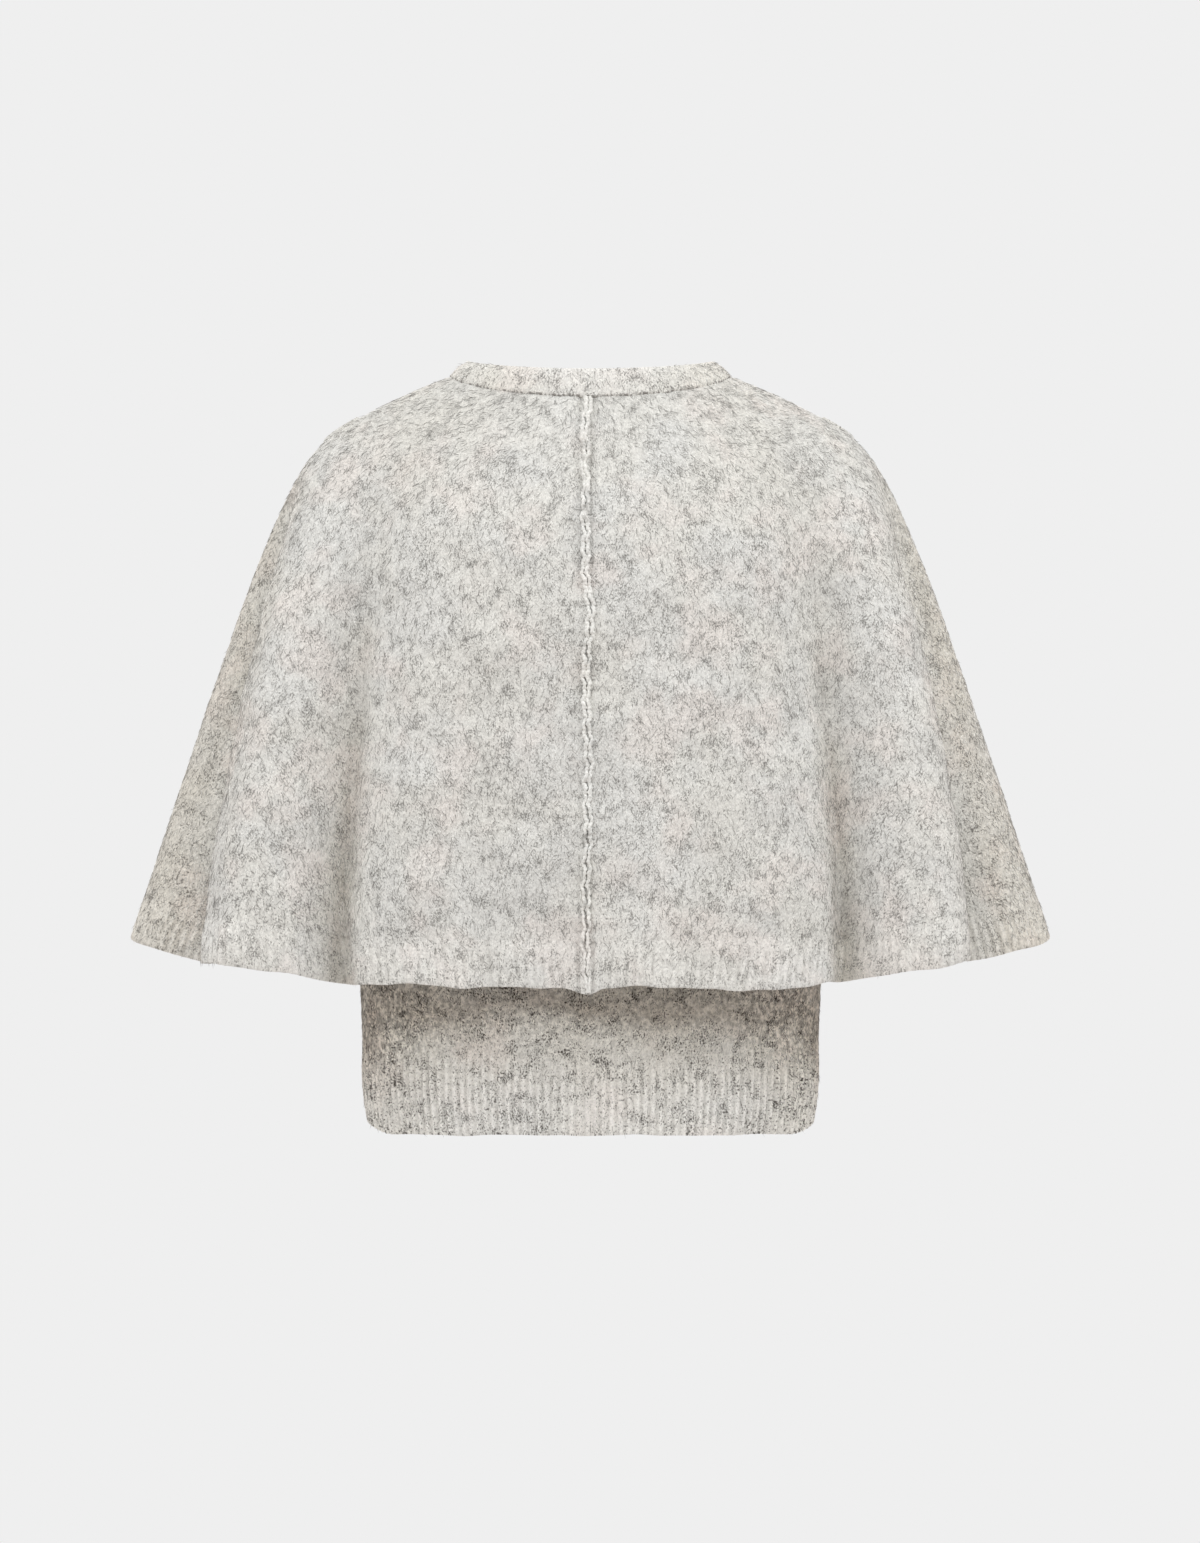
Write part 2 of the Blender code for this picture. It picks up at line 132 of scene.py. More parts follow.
NECKBAND_SECTIONS = table(
    Section,
    (0.00, 100, 11.6, 69, -2, 72, -65, 2.00, 1.25, 0),
    (0.50, 108.5, 7, 73, -12.5, 77, -75, 2.00, 1.25, 0),
    (1.00, 115, 0, 75, -24, 80, -85, 2.00, 1.25, 0),
)
print("rings", len(CAPE_SECTIONS), len(BODY_SECTIONS), len(NECKBAND_SECTIONS))

# %% The folds of the cape, as shares of the hem's half width and depths in millimetres
Fold = namedtuple(  # right_shift is how much further out the fold lies on the right side
    "Fold", "mid_place hem_place start mid_depth hem_depth inner_width outer_width right_shift",
    defaults=(0.010,))

CAPE_BACK_FOLDS = table(
    Fold,
    (0.200, 0.210, 0.45, -1.5, -10, 0.036, 0.036),
    (0.400, 0.450, 0.30, -5, -6, 0.035, 0.030),
    (0.500, 0.555, 0.14, -32, -58, 0.056, 0.047),
    (0.720, 0.745, 0.26, 13, 21, 0.070, 0.065),
    (0.955, 0.880, 0.28, -24, -40, 0.036, 0.052, -0.036),
)
CAPE_FRONT_FOLDS = table(
    Fold,
    (0.290, 0.300, 0.55, -1, -9, 0.060, 0.050),
    (0.470, 0.510, 0.20, -16, -46, 0.044, 0.060),
    (0.660, 0.680, 0.28, 5, 10, 0.070, 0.070),
    (0.870, 0.860, 0.40, -6, -40, 0.050, 0.048),
)
TROUGH_POWER, RIDGE_POWER = 1.5, 2.0  # a trough is sharper at its bottom than a ridge on top
FOLD_SPREAD = 1.9  # a fold is this much wider where it starts than at the hem
FOLD_MIDDLE = 0.5  # the share down the cape where a fold has its middle place and depth
FOLD_FADE = 0.03  # the share of the half width over which the folds fade out at the side
RIGHT_FOLD_DEPTH = 0.92  # the right side's folds are a little shallower

Layer = namedtuple("Layer", "sections back_folds front_folds flares")
CAPE = Layer(CAPE_SECTIONS, CAPE_BACK_FOLDS, CAPE_FRONT_FOLDS, True)
BODY = Layer(BODY_SECTIONS, (), (), False)
NECKBAND = Layer(NECKBAND_SECTIONS, (), (), False)
print("folds", len(CAPE_BACK_FOLDS), "behind,", len(CAPE_FRONT_FOLDS), "in front, on each side")

# %% A ring at any height
HEM_SQUARE = 2.3  # spaces the columns round a quarter
SHOULDER_LINE = 0.14  # the share down to which the cape's lines crowd to the side
FLARE_START = 0.25  # and the share from where they spread again


def smooth_between(stations, values, where):
    """A smooth curve through values at rising stations, read at any places."""
    stations, values = np.array(stations, dtype=float), np.array(values, dtype=float)
    slopes = np.gradient(values, stations)
    where = np.clip(where, stations[0], stations[-1])
    i = np.clip(np.searchsorted(stations, where, side="right") - 1, 0, len(stations) - 2)
    length = stations[i + 1] - stations[i]
    t = (where - stations[i]) / length
    return (values[i] * (1 + 2 * t) * (1 - t) ** 2 + values[i + 1] * t * t * (3 - 2 * t)
            + length * (slopes[i] * t * (1 - t) ** 2 - slopes[i + 1] * t * t * (1 - t)))


def column_value(layer, name, share):
    """A table's column at any share, as a smooth curve through its rows."""
    shares = [row.share for row in layer.sections]
    return smooth_between(shares, [getattr(row, name) for row in layer.sections], share)


def at_hem(place):
    """The share of the hem's half width at a place round the quarter, 0 middle, 1 side."""
    return np.sin(np.clip(place, 0, 1) * math.pi / 2) ** (2 / HEM_SQUARE)


def spread(share):
    """1 at the neck and the hem, and 0 where the cape's lines crowd to the side."""
    flared = (share - FLARE_START) / (1 - FLARE_START)
    return np.maximum(np.maximum(1 - share / SHOULDER_LINE, flared), 0)


def width_share(layer, place, share):
    """The share of a ring's half width that a place round the quarter has reached."""
    even = at_hem(place)
    if not layer.flares:
        return even
    crowded = 1 - (1 - even) ** 2
    return crowded + (even - crowded) * spread(share)


def place_of(layer, x, share):
    """The place round the quarter where a ring's half width is x."""
    reached = np.minimum(x / column_value(layer, "side_x", share), 1.0)
    if layer.flares:
        t = np.minimum(spread(share), 1 - 1e-4)
        half_sum = (2 - t) / (2 * (1 - t))
        reached = half_sum - np.sqrt(half_sum ** 2 - reached / (1 - t))
    return np.arcsin(reached ** (HEM_SQUARE / 2)) / (math.pi / 2)


def ring_point(layer, half, place, share):
    """Points of the plain rings, on the left side. half is 1 behind and -1 in front."""
    value = {name: column_value(layer, name, share) for name in Section._fields[1:]}
    reached = width_share(layer, place, share)
    middle_y = np.where(half > 0, value["back_y"], -value["front_y"])
    middle_z = np.where(half > 0, value["back_z"], value["front_z"])
    rest = np.maximum(1 - reached ** value["square"], 0)
    y = middle_y * rest ** (1 / value["square"])
    z = value["side_z"] + (middle_z - value["side_z"]) * rest ** (value["drop"] / 2)
    return np.stack(np.broadcast_arrays(value["side_x"] * reached, y, z), axis=-1)


print("hem ring at the side", ring_point(CAPE, 1.0, 1.0, 1.0).round(1))

# %% The way out of the cloth at any point
STEP = 1e-3  # for slopes by differences


def unit(vectors):
    """Each vector of a grid, one long."""
    return vectors / np.maximum(np.linalg.norm(vectors, axis=-1, keepdims=True), 1e-12)


def slope_normal(point, half, place, share):
    """The outward direction of the surface point(half, place, share), from its slopes."""
    lower, upper = np.minimum(share + STEP, 1.0), np.maximum(share - STEP, 0.0)
    across = (point(half, place + STEP, share)
              - point(half, np.maximum(place - STEP, 0.0), share))
    down = point(half, place, lower) - point(half, place, upper)
    inner = np.cross(across, down) * np.asarray(half)[..., None]
    side_down = point(half, 1.0, lower) - point(half, 1.0, upper)
    side = np.stack([-side_down[..., 2], 0 * side_down[..., 0], side_down[..., 0]], axis=-1)
    at_side = np.broadcast_to(np.asarray(place) > 1 - STEP, inner.shape[:-1])
    return unit(np.where(at_side[..., None], side, inner))


def ring_normal(layer, half, place, share):
    """The outward direction of the plain ring."""
    return slope_normal(lambda h, p, s: ring_point(layer, h, p, s), half, place, share)


def neck_seam_normal(half, x):
    """The direction of the neck seam's joint faces, half way between its two sides."""
    above = ring_normal(NECKBAND, half, place_of(NECKBAND, x, 1.0), 1.0)
    below = ring_normal(BODY, half, place_of(BODY, x, 0.0), 0.0)
    return unit(above + below)


# %% [markdown]
# ## Folds, seam pull and small unevenness
#
# A brushed knit never hangs perfectly smooth. Besides its main folds it has slow swells a
# few centimetres across, little puckers where a seam gathers it, and a hem that swings in
# and out by about a centimetre and lifts and dips by a few millimetres. They are small
# beside the frame's own folds, so they are added here, as distances along the way out of
# the cloth. A few sine waves and bells are enough, and they repeat exactly each run.

# %% Where the centre back seam runs
SeamPlace = namedtuple("SeamPlace", "z x apart")
SEAM_PLACES = table(  # height, how far the seam has wandered and how far apart its cords lie
    SeamPlace,
    (-497.5, 1.4, 1.4), (-488, 2.0, 2.6), (-476, 2.6, 3.2), (-462, 3.3, 4.2), (-440, 2.9, 4.4),
    (-415, 3.2, 4.3), (-392, 2.2, 4.0), (-370, 1.5, 4.5), (-345, 2.4, 4.1), (-318, 1.0, 4.2),
    (-296, 2.0, 4.5), (-269, 2.9, 3.9), (-237, 2.9, 4.3), (-225, 2.0, 4.6), (-206, -0.4, 4.2),
    (-189, 0.4, 4.4), (-181, 2.0, 4.0), (-169, 3.7, 3.8), (-141, 3.3, 3.9), (-117, 4.3, 3.6),
    (-101, 3.2, 3.6), (-90, 4.0, 3.4), (-77, 5.0, 3.0), (-65, 2.5, 4.0), (-55, 5.6, 3.6),
    (-46, 3.7, 3.6), (-36, 2.0, 4.6), (-26, 2.0, 3.6),
)


def seam_x(z):
    """How far the centre back seam has wandered to the left at a height."""
    return smooth_between([p.z for p in SEAM_PLACES], [p.x for p in SEAM_PLACES], z)


print("the seam wanders", min(p.x for p in SEAM_PLACES), "to", max(p.x for p in SEAM_PLACES), "mm")

# %% Three simple rules for small shapes
def bell(x, middle, reach):
    """A smooth bump, 1 in its middle and nearly 0 at twice its reach."""
    return np.exp(-((x - middle) / reach) ** 2)


def ramp(x, start, over):
    """0 up to the start, then a straight rise to 1."""
    return np.clip((x - start) / over, 0, 1)


def waves(x, *rows):
    """A sum of sine waves along x. A row is a height, a length over 2 pi and a phase."""
    return sum(height * np.sin(x / length + phase) for height, length, phase in rows)


print("a bell at its reach is", round(float(bell(1, 0, 1)), 2))

# %% How far the cloth stands off its ring
SWELLS = (  # wavelength mm, direction in degrees, phase, height mm
    (118, 20, 0.3, 0.9), (83, 74, 1.9, 0.7), (64, 131, 4.1, 0.55),
    (47, 48, 2.6, 0.35), (39, 103, 5.3, 0.3), (31, 160, 0.9, 0.2),
)
SWELL_TURN = 0.8  # how much a step towards the back counts as a step round
CAPE_LOOSE = (0.05, 0.45)  # the share where the cape starts to hang loose, and over how much
BODY_LOOSE = 0.6
SIDE_CALM = 0.85  # the cloth's weight pulls its sides straight, so they swell less
SIDE_CALM_FROM = (0.75, 0.2)  # the place round the quarter, and over how much
PUCKER_HEIGHT, PUCKER_REACH = 0.55, 13.0
PUCKER_LENGTH, SHORT_PUCKER_LENGTH = 2.3, 1.31  # over 2 pi, as for waves
PUCKER_WANDER, WANDER_LENGTH = 1.4, 17  # so that the puckers aren't evenly spaced
PUCKER_START = (0.0, 0.05)
SEAM_GROOVE_DEPTH, SEAM_GROOVE_WIDTH = 2.0, 2.6
SEAM_GROOVE_AWAY = 5.4  # from the seam to the groove on either side of it
NECK_SEAM_DIP = 0.8  # the cape's cloth is pulled in at the neck seam
NECK_SEAM_REACH = 0.004  # the share down the cape over which that pull dies away
SIDE_SEAM_DEPTH, SIDE_SEAM_WIDTH = 0.7, 1.8
NAP_ROOM = 0.6  # the knit lies this far inside its outline, and the nap fills the rest


def fold_depth(layer, half, side, place, share):
    """How far the folds move the cloth out."""
    reached = at_hem(place)
    total = 0.0
    for this_half, folds in ((BACK, layer.back_folds), (FRONT, layer.front_folds)):
        for fold in folds:
            middle = np.interp(share, (FOLD_MIDDLE, 1.0), (fold.mid_place, fold.hem_place))
            middle = middle + np.where(side < 0, fold.right_shift, 0.0)
            width = np.where(reached < middle, fold.inner_width, fold.outer_width)
            width = width * np.interp(share, (fold.start, 1.0), (FOLD_SPREAD, 1.0))
            deep = max(FOLD_MIDDLE, fold.start + 0.01)
            depth = np.interp(share, (fold.start, deep, 1.0), (0.0, fold.mid_depth, fold.hem_depth))
            power = TROUGH_POWER if fold.hem_depth < 0 else RIDGE_POWER
            bump = np.exp(-np.abs((reached - middle) / width) ** power)
            total = total + np.where(half == this_half, depth * bump, 0.0)
    fade = np.minimum((1 - reached) / FOLD_FADE, 1.0)
    return total * fade * np.where(side < 0, RIGHT_FOLD_DEPTH, 1.0)


def swells(point, side):
    """Slow uneven swells over the cloth, in millimetres, at points on the left side."""
    round_cloth = point[..., 0] * side + SWELL_TURN * point[..., 1]
    height = 0.0
    for length, degrees, phase, size in SWELLS:
        angle = math.radians(degrees)
        way = round_cloth * math.cos(angle) + point[..., 2] * math.sin(angle)
        height = height + size * np.sin(2 * math.pi * way / length + phase)
    return height


def puckers(point, side, share):
    """The cape's cloth gathers a little along its centre back seam, between two grooves."""
    z = point[..., 2]
    away = point[..., 0] * side - seam_x(z)
    wander = PUCKER_WANDER * np.sin(z / WANDER_LENGTH)
    gathers = waves(z, (1.0, PUCKER_LENGTH, wander), (0.5, SHORT_PUCKER_LENGTH, 2))
    height = PUCKER_HEIGHT * bell(away, 0, PUCKER_REACH) * gathers * ramp(share, *PUCKER_START)
    return height - SEAM_GROOVE_DEPTH * bell(np.abs(away), SEAM_GROOVE_AWAY, SEAM_GROOVE_WIDTH)


# %% How the hems swing, lift and dip
HEM_SWAYS = ((-56, 42, 14.0), (44, 36, -10.0), (110, 30, -4.0))  # middle, reach, height
SWAY_START, SWAY_POWER = 0.4, 1.3
HEM_WAVES = ((1.0, 15.4, 1.0), (0.7, 8.6, 2.2), (0.4, 4.9, 0.0))
CAPE_UNEVEN, BODY_UNEVEN = 0.8, 0.4  # how much of those waves each hem has
HEM_DIP_START = 0.88  # the share below which a hem's unevenness moves the cloth
HEM_DROPS = ((-140, 36, 5.5), (180, 22, 2.5), (-310, 34, -3.0))  # middle, reach, drop
CENTRE_TIP_X, CENTRE_TIP_DROP = -0.5, 4.0  # the cape's hem hangs lowest at its centre seam
TIP_REACH_RIGHT, TIP_REACH_LEFT = 5.0, 13.0
CORNER_START, CORNER_REACH = 160, 22
CORNER_LIFT = 8.0  # rounds the body's lower corners


def hem_sway(x, share):
    """The cape's lower edge swings a little out and in across the back, between its folds."""
    sway = sum(height * bell(x, middle, reach) for middle, reach, height in HEM_SWAYS)
    return sway * ramp(share, SWAY_START, 1 - SWAY_START) ** SWAY_POWER


def hem_dip(layer, half, x):
    """How far a hem hangs lower than its ring, unevenly, and most at the centre seam."""
    if layer is NECKBAND:
        return 0.0 * x
    uneven = waves(x, *HEM_WAVES)
    if layer is BODY:
        corner = ramp(np.abs(x), CORNER_START, CORNER_REACH)
        return BODY_UNEVEN * uneven - CORNER_LIFT * corner ** 2
    tip_reach = np.where(x < CENTRE_TIP_X, TIP_REACH_RIGHT, TIP_REACH_LEFT)
    drops = sum(drop * bell(x, middle, reach) for middle, reach, drop in HEM_DROPS)
    drops = CENTRE_TIP_DROP * bell(x, CENTRE_TIP_X, tip_reach) + drops
    return CAPE_UNEVEN * uneven + np.where(half > 0, drops, 0.0)


# %% The cloth's outer face and the direction of its wall
def mitred(normal, layer, half, x, share):
    """The normals, turned to the joint's direction wherever they lie on the neck seam."""
    seam_share = 1.0 if layer is NECKBAND else 0.0
    on_seam = np.broadcast_to(np.asarray(share) == seam_share, normal.shape[:-1])
    if not on_seam.any():
        return normal
    mitre = neck_seam_normal(np.broadcast_to(half, on_seam.shape), x)
    return np.where(on_seam[..., None], mitre, normal)


def cloth_point(layer, half, side, place, share):
    """Points of the cloth's outer face, on the left side."""
    point = ring_point(layer, half, place, share)
    x = point[..., 0]
    out = fold_depth(layer, half, side, place, share) - column_value(layer, "inset", share)
    out = out - NAP_ROOM
    if layer is not NECKBAND:
        loose = ramp(share, *CAPE_LOOSE) if layer is CAPE else BODY_LOOSE
        loose = loose * (1 - SIDE_CALM * ramp(place, *SIDE_CALM_FROM))
        out = out + swells(point, side) * loose
        out = out - SIDE_SEAM_DEPTH * bell(point[..., 1], 0, SIDE_SEAM_WIDTH)
    if layer is CAPE:
        behind = puckers(point, side, share) + hem_sway(x * side, share)
        out = out + np.where(half > 0, behind, 0.0)
        out = out - NECK_SEAM_DIP * np.exp(-share / NECK_SEAM_REACH)
    normal = mitred(ring_normal(layer, half, place, share), layer, half, x, share)
    dip = hem_dip(layer, half, x * side) * ramp(share, HEM_DIP_START, 1 - HEM_DIP_START)
    return point + out[..., None] * normal - dip[..., None] * np.array([0.0, 0.0, 1.0])


def cloth_normal(layer, half, side, place, share):
    """The direction of the wall's thickness, on the left side."""
    normal = slope_normal(lambda h, p, s: cloth_point(layer, h, side, p, s), half, place, share)
    return mitred(normal, layer, half, ring_point(layer, half, place, share)[..., 0], share)


print("cape hem at its back fold", cloth_point(
    CAPE, np.array(1.0), np.array(1.0), np.array(0.48), np.array(1.0)).round(1))


# %% [markdown]
# ## Turning a patch of cloth into a closed shell
#
# A panel is a grid of points on the cloth's outer face and the same grid moved in by the
# wall's thickness. Joining the two grids round their border closes the shell, so it has a
# true thickness wherever its edge shows. A hem or an armhole gets a rounded edge, as a knitted
# edge has, and an edge that meets another panel stays flat.
#
# Solidify could give the thickness too, but here each point also carries what the later steps
# need: how far it is round and down the cloth, which way is out, which way is down, where the
# ribs are, how hairy the cloth is, and how warm in colour it is, together with the painted shade
# that darkens it in folds, at the sides and in the cape's shadow.

# %% Columns, rows and grids
Column = namedtuple("Column", "half side at")
Grid = namedtuple("Grid", "outer inner outward share fold")


def fixed(place):
    """A column that keeps the same place at every height."""
    return lambda layer, share: np.full(np.shape(share), float(place))


def at_width(x):
    """A column at a fixed distance from the middle."""
    return lambda layer, share: place_of(layer, x, share)


def between(low, high, part):
    """A column part of the way from one to another."""
    return lambda layer, share: low(layer, share) * (1 - part) + high(layer, share) * part


def cloth_grid(rows, columns, wall, depth=0.0):
    """A wall's two faces. rows is a list of (layer, shares), from the top down."""
    parts = []
    for layer, shares in rows:
        shares = np.asarray(shares, dtype=float)
        place = np.stack([column.at(layer, shares) for column in columns], axis=1)
        share = np.broadcast_to(shares[:, None], place.shape)
        half = np.broadcast_to([float(column.half) for column in columns], place.shape)
        side = np.broadcast_to([float(column.side) for column in columns], place.shape)
        point = cloth_point(layer, half, side, place, share)
        normal = cloth_normal(layer, half, side, place, share)
        mirror = np.stack([side, np.ones_like(side), np.ones_like(side)], axis=-1)
        fold = fold_depth(layer, half, side, place, share) * np.ones_like(share)
        parts.append(((point - depth * normal) * mirror,
                      (point - (depth + wall) * normal) * mirror, normal * mirror, share, fold))
    return Grid(*(np.concatenate(faces) for faces in zip(*parts)))


def run_along(points, axis):
    """The distance along each line of a grid, in millimetres."""
    steps = np.linalg.norm(np.diff(points, axis=axis), axis=-1)
    start = np.zeros_like(np.take(steps, [0], axis=axis))
    return np.cumsum(np.concatenate([start, steps], axis=axis), axis=axis)


# %% The closed shell
RIM_STEPS = 3  # facets across the thickness at an edge


def border_of(rows, columns):
    """The grid's border points in order, as rows and columns."""
    path = ([(0, j) for j in range(columns)] + [(i, columns - 1) for i in range(1, rows)]
            + [(rows - 1, j) for j in range(columns - 2, -1, -1)]
            + [(i, 0) for i in range(rows - 2, 0, -1)])
    return np.array(path).T


def edge_rounding(middle, rounded):
    """How far and which way each border point bulges: top, bottom, start and end edges."""
    away = np.zeros_like(middle)
    top, bottom, start, end = rounded
    away[0] += top * unit(middle[0] - middle[1])
    away[-1] += bottom * unit(middle[-1] - middle[-2])
    away[:, 0] += start * unit(middle[:, 0] - middle[:, 1])
    away[:, -1] += end * unit(middle[:, -1] - middle[:, -2])
    return away


def shell_faces(rows, columns):
    """Quads of a closed shell: the outer grid, the inner grid, then the rim's rings."""
    grid = np.arange(rows * columns).reshape(rows, columns)
    quads = np.stack([grid[:-1, :-1], grid[1:, :-1], grid[1:, 1:], grid[:-1, 1:]], axis=-1)
    quads = quads.reshape(-1, 4)
    i, j = border_of(rows, columns)
    around = len(i)
    rings = [grid[i, j]]
    for step in range(RIM_STEPS - 1):
        rings.append(2 * grid.size + step * around + np.arange(around))
    rings.append(grid.size + grid[i, j])
    faces = [quads, quads[:, ::-1] + grid.size]
    for near, far in zip(rings, rings[1:]):
        faces.append(np.stack([near, np.roll(near, -1), np.roll(far, -1), far], axis=-1))
    return np.concatenate(faces)


def shell_points(grid, rounded):
    """The points that go with shell_faces."""
    middle = (grid.outer + grid.inner) / 2
    reach = (grid.outer - grid.inner) / 2
    half_wall = np.linalg.norm(reach, axis=-1, keepdims=True)
    away = edge_rounding(middle, rounded) * half_wall
    i, j = border_of(*grid.outer.shape[:2])
    parts = [grid.outer.reshape(-1, 3), grid.inner.reshape(-1, 3)]
    for step in range(1, RIM_STEPS):
        turn = math.pi * step / RIM_STEPS
        parts.append(middle[i, j] + reach[i, j] * math.cos(turn) + away[i, j] * math.sin(turn))
    return np.concatenate(parts)


def on_all_points(values, inner_too=True):
    """A grid of values, repeated for the inner grid and the rim."""
    i, j = border_of(*values.shape[:2])
    flat = values.reshape(-1, *values.shape[2:])
    inner = flat if inner_too else np.zeros_like(flat)
    rim = values[i, j] if inner_too else np.zeros_like(values[i, j])
    return np.concatenate([flat, inner] + [rim] * (RIM_STEPS - 1))


# %% Write a mesh, its cloth map and its attributes
EDGE_ANGLE = math.radians(55)  # faces that meet more sharply than this show an edge


def signed_volume(points, faces):
    """The volume inside a closed mesh of quads, negative if it is inside out."""
    a, b, c, d = (points[faces[:, k]] for k in range(4))
    return float((a * np.cross(b, c)).sum() + (a * np.cross(c, d)).sum()) / 6


def write_attribute(mesh, name, values):
    """Store a number or a vector on each point."""
    vector = values.ndim == 2
    layer = mesh.attributes.new(name, "FLOAT_VECTOR" if vector else "FLOAT", "POINT")
    layer.data.foreach_set("vector" if vector else "value", values.astype(float).ravel())


def link_object(name, mesh, material):
    """A new object in the scene that shows the mesh in one material."""
    if not mesh.materials:
        mesh.materials.append(material)
    piece = bpy.data.objects.new(name, mesh)
    bpy.context.scene.collection.objects.link(piece)
    return piece


def make_cloth(name, grid, material, rounded, **fields):
    """A closed shell of cloth. rounded says how round its top, bottom, start and end edges
    are, from 0 to 1, and fields are further grids of numbers to store."""
    points = shell_points(grid, rounded)
    faces = shell_faces(*grid.outer.shape[:2])
    if signed_volume(points, faces) < 0:
        faces = faces[:, ::-1]
    mesh = bpy.data.meshes.new(name)
    mesh.from_pydata((points * MM).tolist(), [], faces.tolist())
    round_mm = np.broadcast_to(fields.pop("round_mm"), grid.share.shape)
    down_mm = run_along(grid.outer, 0)
    write_attribute(mesh, "round_mm", on_all_points(round_mm))
    write_attribute(mesh, "outward", on_all_points(grid.outward))
    write_attribute(mesh, "down", on_all_points(unit(np.gradient(grid.outer, axis=0))))
    for field, values in fields.items():
        values = np.broadcast_to(values, grid.share.shape)
        write_attribute(mesh, field, on_all_points(values, inner_too=field != "nap"))
    cloth_map = np.stack([on_all_points(round_mm), on_all_points(down_mm)], axis=-1) * MM
    corners = np.empty(len(mesh.loops), dtype=int)
    mesh.loops.foreach_get("vertex_index", corners)
    mesh.uv_layers.new(name="cloth").uv.foreach_set("vector", cloth_map[corners].ravel())
    mesh.shade_smooth()
    mesh.set_sharp_from_angle(angle=EDGE_ANGLE)
    wide, long = (run_along(grid.outer, axis).max() / 10 for axis in (1, 0))
    print(f"{name}: {2 * len(faces)} triangles, {wide:.0f} by {long:.0f} cm, "
          f"{cloth_area(grid):.3f} square metres")
    return link_object(name, mesh, material)


def cloth_area(grid):
    """The area of the cloth, half way through its wall, in square metres."""
    middle = (grid.outer + grid.inner) / 2
    across, down = np.diff(middle, axis=1)[:-1], np.diff(middle, axis=0)[:, :-1]
    return float(np.linalg.norm(np.cross(across, down), axis=-1).sum()) * MM * MM


print("a shell of 3 by 4 points has", len(shell_faces(3, 4)), "faces")


# %% [markdown]
# ## One way to add a node
#
# Every material and every Geometry Nodes tree below is written with one small function. It
# adds a node, sets its settings, and then sets or links each input. A node can be given as
# an input too, and then its first output is linked.

# %% Add a node, and turn a hex colour into Blender's linear numbers
def add_node(tree, kind, inputs=(), **settings):
    """Add a node to a tree. inputs maps a socket's name or number to a value, to the output
    that feeds it, or to the node whose first output feeds it."""
    node = tree.nodes.new(kind)
    for name, value in settings.items():
        setattr(node, name, value)
    for key, value in dict(inputs).items():
        if isinstance(value, bpy.types.Node):
            value = value.outputs[0]
        if isinstance(value, bpy.types.NodeSocket):
            tree.links.new(value, node.inputs[key])
        else:
            node.inputs[key].default_value = value
    return node


def new_material(name, inputs):
    """A new material, its tree and its shader, with some of the shader's inputs set."""
    material = bpy.data.materials.new(name)
    material.use_nodes = True
    shader = material.node_tree.nodes["Principled BSDF"]
    for key, value in inputs.items():
        shader.inputs[key].default_value = value
    return material, material.node_tree, shader


def linear(hex_colour):
    """A Blender colour from an sRGB hex code."""
    channels = [int(hex_colour[i:i + 2], 16) / 255 for i in (1, 3, 5)]
    return tuple(c / 12.92 if c <= 0.04045 else ((c + 0.055) / 1.055) ** 2.4
                 for c in channels) + (1.0,)


def scale_for(size_mm):
    """The Noise Texture scale whose features are about this size."""
    return 1 / (size_mm * MM)


print("mid grey is", [round(c, 3) for c in linear("#808080")])


# %% [markdown]
# ## Brushed melange wool
#
# The cloth is a melange wool knit, spun from cream, light grey and a little charcoal fleece
# and brushed after knitting. Brushing lifts fibres over the stitches, so the eye sees a soft
# pale ground with small charcoal flecks that gather in clouds, pale fibres that lie with the
# nap, and slow patches of cooler grey, cream and a faint blush. It is fully matt, with a
# little sheen at the edges.
#
# Images of wool could be tiled over it, but noise at each of those real sizes gives the
# same look without an image, never repeats, and stays sharp at any distance.

# %% Colours and sizes of the melange
GROUND_COOL = "#D6D6D4"
GROUND_CREAM = "#D8D7D3"
GROUND_BLUSH = "#DED7D3"
CHARCOAL = "#6F6D6A"
# Painted shade: where the cloth is shaded, its flecks darken from charcoal to this colour.
SHADED_FLECK = "#3E3934"
PALE_FIBRE = "#FCFBF8"
Spots = namedtuple(  # a noise, whose values from low to high are spread from least to most
    "Spots", "seed size_mm detail roughness low high least most",
    defaults=(2.0, 0.5, 0.0, 1.0, 0.0, 1.0))
CLOUDS = Spots(3, 9.0, 3.0, 0.6)  # they gather the flecks
MELANGE = {
    "cream": Spots(1, 60.0, low=0.40, high=0.60),
    "blush": Spots(2, 45.0, low=0.48, high=0.66, most=0.6),
    "clouds": CLOUDS,
    "grain": Spots(6, 1.1),  # this one and the clouds stay as the noise gives them
    "mottle": Spots(7, 1.7, low=0.3, high=0.7, least=0.86, most=1.14),
    "blotch": Spots(8, 4.0, low=0.35, high=0.65),  # wider spots, which mottle the painted shade
}
HAIRS = {  # seed, width and length in mm round and down the cloth, detail, low and high
    "fleck": (4, 1.25, 1.6, 1.0, 0.50, 0.74),
    "fibre": (5, 0.75, 5.5, 2.0, 0.52, 0.72),  # a fibre is 0.02 mm wide, so a lock of many
}
CLOUD_PULL = 0.75  # how strongly the clouds gather the flecks
FIBRE_SHOWS = 0.6
SHADE_MOTTLE_POWER = 3.0  # the blotches mottle the painted shade, most where it is deepest
GRAIN_RISE, FIBRE_RISE, FLECK_SINK = 0.9, 0.5, 0.45  # for the height of the surface


